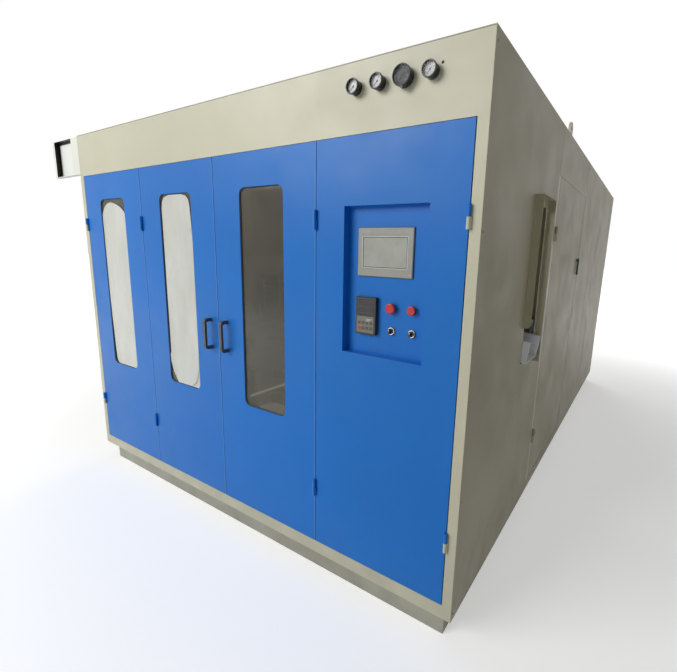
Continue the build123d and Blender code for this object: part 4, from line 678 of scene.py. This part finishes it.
# Figures, marks and rims of the gauges, in shares of the dial's radius
FIGURE_DEPTH = 0.00006
FIGURE_REACH = 0.6
FIGURE_SIZE = 0.24
TICK_OUTER = 0.94
LONG_TICK = 0.78
SHORT_TICK = 0.86
TICKS_PER_FIGURE = 5
INK_Y = DIAL_FACE - 0.00005
ARC_STEPS = 54


def number_mesh(words, size, x, y, z, work):
    """Adds raised figures centred on a place, facing minus Y."""
    curve = bpy.data.curves.new("figures", "FONT")
    curve.body = words
    curve.size = size
    curve.align_x = "CENTER"
    curve.align_y = "CENTER"
    curve.extrude = FIGURE_DEPTH
    holder = bpy.data.objects.new("figures", curve)
    scene.collection.objects.link(holder)
    bpy.context.view_layer.update()
    mesh = bpy.data.meshes.new_from_object(holder)
    mesh.transform(Matrix.Translation((x, y, z)) @ Matrix.Rotation(math.radians(90), 4, "X"))
    work.from_mesh(mesh)
    bpy.data.objects.remove(holder)
    bpy.data.curves.remove(curve)
    bpy.data.meshes.remove(mesh)


def on_dial(x, radius, share):
    """The x and z of a place on a gauge, at a radius and a share of the way along its scale."""
    angle = math.radians(SCALE_START - SCALE_SWEEP * share)
    return x + radius * math.cos(angle), GAUGE_LEVEL + radius * math.sin(angle)


scale_figures = (("0", "2", "4", "6", "8", "10"), ("0", "2", "4", "6", "8", "10"),
                 ("0", "10", "20", "30", "40", "50", "60"), ("0", "4", "8", "12", "16"))
for number, (x, radius) in enumerate(GAUGES):
    figures = scale_figures[number]
    dial_radius = radius - 0.004
    outer = dial_radius * TICK_OUTER
    work = bmesh.new()
    ticks = (len(figures) - 1) * TICKS_PER_FIGURE
    for tick in range(ticks + 1):
        long_tick = tick % TICKS_PER_FIGURE == 0
        inner = dial_radius * (LONG_TICK if long_tick else SHORT_TICK)
        ends = [on_dial(x, reach, tick / ticks) for reach in (inner, outer)]
        add_strip(work, ends, 0.0007 if long_tick else 0.0004, INK_Y, 0.0001)
    arc = [on_dial(x, outer, step / ARC_STEPS) for step in range(ARC_STEPS + 1)]
    add_strip(work, arc, 0.0004, INK_Y, 0.0001)
    for place_in_row, words in enumerate(figures):
        figure_x, figure_z = on_dial(x, dial_radius * FIGURE_REACH, place_in_row / (len(figures) - 1))
        number_mesh(words, dial_radius * FIGURE_SIZE, figure_x, DIAL_FACE - 0.00012, figure_z, work)
    ink = pale_ink if number == DARK_GAUGE else dial_ink
    finished(f"gauge_{number + 1}_scale", work, ink, "cabinet", smooth=False)
    work = bmesh.new()
    add_ring(work, x, FRONT - 0.0320, GAUGE_LEVEL, radius - 0.0042, radius - 0.0012, 0.0012, 64)
    rim = black_plastic if number == DARK_GAUGE else gauge_black
    finished(f"gauge_{number + 1}_rim", work, rim, "cabinet", bevel=0.0004)

# Adjusting screw under the third gauge
screw_x = GAUGES[DARK_GAUGE][0] + 0.004
screw_z = GAUGE_LEVEL - 0.0375
work = bmesh.new()
add_disc(work, screw_x, FRONT - 0.022, screw_z, 0.0048, 0.008, 24)
add_disc(work, screw_x, FRONT - 0.030, screw_z, 0.0032, 0.0015, 24)
finished("gauge_3_screw", work, gauge_black, "cabinet", bevel=0.0004)

# Touch screen: dark outer edge, pale and dark inner lines, the screen itself and its lamp
EDGE_PROUD = 0.0015
SCREEN_MARGINS = (0.0215, 0.0315)
DARK_LINE_INSET = 0.0027
GLASS_INSET = 0.0051
x, z = centre("touch_screen").x, centre("touch_screen").z
half_x = highest("touch_screen").x - x
half_z = highest("touch_screen").z - z
inner_x = half_x - SCREEN_MARGINS[0]
inner_z = half_z - SCREEN_MARGINS[1]
screen_y = lowest("touch_screen").y


def around(middle, half):
    """The two limits that lie half a size each side of a middle."""
    return middle - half, middle + half


work = bmesh.new()
add_frame(work, around(x, half_x + EDGE_PROUD), around(z, half_z + EDGE_PROUD), 0.0035,
          TRAY_FACE - 0.0002, 0.0052)
finished("screen_outer_edge", work, edge_plastic, "door_4", bevel=0.0006)
work = bmesh.new()
add_frame(work, around(x, inner_x), around(z, inner_z), 0.0024, screen_y - 0.0001, 0.0005)
finished("screen_light_line", work, trim_light, "door_4", bevel=0.0001)
work = bmesh.new()
add_frame(work, around(x, inner_x - DARK_LINE_INSET), around(z, inner_z - DARK_LINE_INSET), 0.0022,
          screen_y + 0.0012, 0.0008)
finished("screen_dark_line", work, black_plastic, "door_4", bevel=0.0001)
work = bmesh.new()
add_block(work, around(x, inner_x - GLASS_INSET), (screen_y + 0.0005, screen_y + 0.0013),
          around(z, inner_z - GLASS_INSET))
finished("screen_glass", work, screen_face, "door_4", bevel=0.0002)
work = bmesh.new()
add_disc(work, x + half_x - 0.0120, screen_y - 0.0001, z - half_z + 0.0135, 0.0017, 0.0006, 20)
finished("screen_lamp", work, white_plastic, "door_4", bevel=0.0002)

# Temperature controller: black display above, grey keypad below with seven dark keys and a red one
PANEL_HALF = 0.0405
PANEL_INNER = 0.002
PANEL_OUTER = 0.068
FIRST_KEY = (-0.0285, -0.050)
KEY_PITCH = (0.019, 0.022)
KEY_HALF = (0.0065, 0.006)
MARK_PITCH = 0.0045
LINE_HALF = 0.034
LINE_PITCH = 0.028
x, z = centre("controller").x, centre("controller").z
face = lowest("controller").y
key_depth = (face - 0.0022, face - 0.0008)
work = bmesh.new()
add_block(work, around(x, PANEL_HALF), (face - 0.0008, face - 0.0001), (z + PANEL_INNER, z + PANEL_OUTER))
finished("controller_display", work, gauge_black, "door_4", bevel=0.0004)
work = bmesh.new()
add_block(work, around(x, PANEL_HALF), (face - 0.0009, face - 0.0001), (z - PANEL_OUTER, z - PANEL_INNER))
finished("controller_keypad", work, grey_plastic, "door_4", bevel=0.0004)
dark_keys = bmesh.new()
red_key = bmesh.new()
for column in range(4):
    for row in range(2):
        key_x = x + FIRST_KEY[0] + column * KEY_PITCH[0]
        key_z = z + FIRST_KEY[1] + row * KEY_PITCH[1]
        work = red_key if column == 0 and row == 0 else dark_keys
        add_block(work, around(key_x, KEY_HALF[0]), key_depth, around(key_z, KEY_HALF[1]))
finished("controller_keys", dark_keys, edge_plastic, "door_4", bevel=0.0008)
finished("controller_red_key", red_key, red_plastic, "door_4", bevel=0.0008)
work = bmesh.new()
for row in range(3):
    mark_z = z - 0.0135 - row * MARK_PITCH
    add_block(work, (x + 0.004, x + 0.030 - row * 0.006), (face - 0.0011, face - 0.0008),
              (mark_z, mark_z + 0.0015))
finished("controller_marks", work, trim_light, "door_4", smooth=False)
work = bmesh.new()
for row in range(2):
    line_z = z + row * LINE_PITCH
    add_frame(work, around(x, LINE_HALF), (line_z + 0.012, line_z + 0.034), 0.0010, face - 0.0008, 0.0004)
finished("controller_display_lines", work, edge_plastic, "door_4", smooth=False)

# White pointer markers on the selector knobs, partly a painted highlight for the lit left face of each grip,
# and collars under the buttons
knob_face = lowest("selector_left").y
for x, body in zip(BUTTON_X, ("switch_left", "switch_right")):
    work = bmesh.new()
    add_block(work, around(x, 0.0012), (knob_face - 0.0004, knob_face + 0.0003),
              (BUTTON_LEVELS[1] + 0.001, BUTTON_LEVELS[1] + 0.0095))
    finished(f"{body}_marker", work, white_plastic, body, bevel=0.0002)
work = bmesh.new()
for x in BUTTON_X:
    for z in BUTTON_LEVELS:
        add_ring(work, x, TRAY_FACE, z, 0.0152, 0.0172, 0.0014, 48)
finished("button_collars", work, edge_plastic, "door_4", bevel=0.0004)

# Round caps over the screws at both ends of the pull handles
CAP_INSET = 0.024
for number in (2, 3):
    handle = f"door_{number}_handle"
    work = bmesh.new()
    for z in (lowest(handle).z + CAP_INSET, highest(handle).z - CAP_INSET):
        add_disc(work, centre(handle).x, lowest(handle).y + 0.0001, z, 0.0042, 0.0009, 24)
    finished(f"{handle}_caps", work, black_plastic, f"door_{number}", bevel=0.0004)


# Button-head screws on the side, rear and roof sheets, by the way that they face
SCREW_PROFILE = ((0.0055, 0.0), (0.0053, 0.0012), (0.0045, 0.0022), (0.0022, 0.0028), (0.0022, 0.0014))
SCREW_TURNS = {
    "X": Matrix.Rotation(math.radians(90), 4, "Y"),
    "-X": Matrix.Rotation(math.radians(-90), 4, "Y"),
    "Y": Matrix.Rotation(math.radians(-90), 4, "X"),
    "Z": Matrix.Identity(4),
}


def add_screw(work, x, y, z, facing):
    """A low domed head with a socket, on a face that looks along X, minus X, Y or Z."""
    rings = []
    for radius, height in SCREW_PROFILE:
        ring = []
        for step in range(SCREW_SIDES):
            angle = 2 * math.pi * step / SCREW_SIDES
            spot = SCREW_TURNS[facing] @ Vector((radius * math.cos(angle), radius * math.sin(angle), height))
            ring.append(work.verts.new(spot + Vector((x, y, z))))
        rings.append(ring)
    for first, second in zip(rings[:-1], rings[1:]):
        for step in range(SCREW_SIDES):
            following = (step + 1) % SCREW_SIDES
            work.faces.new((first[step], first[following], second[following], second[step]))
    work.faces.new(list(reversed(rings[0])))
    work.faces.new(rings[-1])


work = bmesh.new()
for z in SCREW_LEVELS:
    for x in REAR_SCREW_X:
        add_screw(work, x, REAR, z, "Y")
    for y in SIDE_SCREW_Y:
        add_screw(work, SIDE, y, z, "X")
        add_screw(work, -SIDE, y, z, "-X")
for x in ROOF_SCREW_X:
    for y in ROOF_SCREW_Y:
        add_screw(work, x, y, TOP, "Z")
finished("sheet_screws", work, shaded_side_paint, "cabinet")

# Camera at the photograph's viewpoint
yaw = math.radians(YAW)
pitch = math.radians(PITCH)
roll = math.radians(ROLL)
forward = Vector((-math.sin(yaw) * math.cos(pitch), math.cos(yaw) * math.cos(pitch), math.sin(pitch)))
level_right = Vector((math.cos(yaw), math.sin(yaw), 0.0))
upright = level_right.cross(forward)
right = level_right * math.cos(roll) + upright * math.sin(roll)
up = upright * math.cos(roll) - level_right * math.sin(roll)
camera_data = bpy.data.cameras.new("camera")
camera_data.sensor_width = SENSOR_WIDTH
camera_data.lens = FOCAL_LENGTH / PICTURE_WIDTH * SENSOR_WIDTH
camera_data.shift_x = (PICTURE_MIDDLE - OPTICAL_CENTRE) / PICTURE_WIDTH
camera_data.clip_end = 200.0
camera = bpy.data.objects.new("camera", camera_data)
turn = Matrix((right, up, -forward)).transposed().to_4x4()
camera.matrix_world = Matrix.Translation(CAMERA_PLACE) @ turn
scene.collection.objects.link(camera)
scene.camera = camera


# Light
def seen_rays(tree):
    """1 on the rays that see a white surround: the camera's, and those off or through a surface."""
    rays = tree.nodes.new("ShaderNodeLightPath")
    seen = product(tree, rays.outputs["Is Camera Ray"], rays.outputs["Is Glossy Ray"], "MAXIMUM")
    return product(tree, seen, rays.outputs["Is Transmission Ray"], "MAXIMUM")


# Floor: pale near the machine, where it keeps the shadow, and white further out
floor_material, tree, surface = shader("floor")
place = object_place(tree)
patches = cloud(tree, place, 0.8, 3.0)
shade = mixed(tree, patches, (0.88, 0.88, 0.88, 1.0), (0.92, 0.92, 0.92, 1.0))
tree.links.new(shade, surface.inputs["Base Color"])
surface.inputs["Roughness"].default_value = 0.8
reach = tree.nodes.new("ShaderNodeVectorMath")
reach.operation = "LENGTH"
tree.links.new(place, reach.inputs[0])
glow = spread(tree, reach.outputs["Value"], GLOW_START, GLOW_FULL, FLOOR_GLOW, 1.0, smooth=True)
surface.inputs["Emission Color"].default_value = WHITE
tree.links.new(product(tree, seen_rays(tree), glow), surface.inputs["Emission Strength"])
work = bmesh.new()
bmesh.ops.create_grid(work, x_segments=2, y_segments=2, size=FLOOR_HALF)
mesh = bpy.data.meshes.new("floor")
work.to_mesh(mesh)
work.free()
mesh.materials.append(floor_material)
floor = bpy.data.objects.new("floor", mesh)
scene.collection.objects.link(floor)

# World: white to the camera and in reflections, a plain grey as fill light
world = bpy.data.worlds.new("studio")
world.use_nodes = True
scene.world = world
tree = world.node_tree
background = next(node for node in tree.nodes if node.type == "BACKGROUND")
tree.links.new(mixed(tree, seen_rays(tree), FILL_LIGHT, WHITE), background.inputs["Color"])
background.inputs["Strength"].default_value = 1.0


def soft_box(name, place, target, size, power, color=(1.0, 1.0, 1.0)):
    """A large rectangular lamp aimed at a point."""
    data = bpy.data.lights.new(name, "AREA")
    data.shape = "RECTANGLE"
    data.size, data.size_y = size
    data.energy = power
    data.color = color
    lamp = bpy.data.objects.new(name, data)
    way = Vector(target) - Vector(place)
    lamp.matrix_world = Matrix.Translation(place) @ way.to_track_quat("-Z", "Y").to_matrix().to_4x4()
    scene.collection.objects.link(lamp)


soft_box("key_lamp", (-3.6, -9.0, 4.8), (0.0, -2.2, 1.1), (6.0, 4.0), KEY_POWER)
soft_box("rear_lamp", (-3.5, 9.0, 4.5), (0.0, 2.0, 1.2), (6.0, 4.0), REAR_POWER)
soft_box("cabin_lamp", (0.25, -1.9, 2.12), (0.25, -0.9, 1.1), (1.6, 0.12), CABIN_POWER, CABIN_COLOR)

scene.view_settings.view_transform = "Standard"
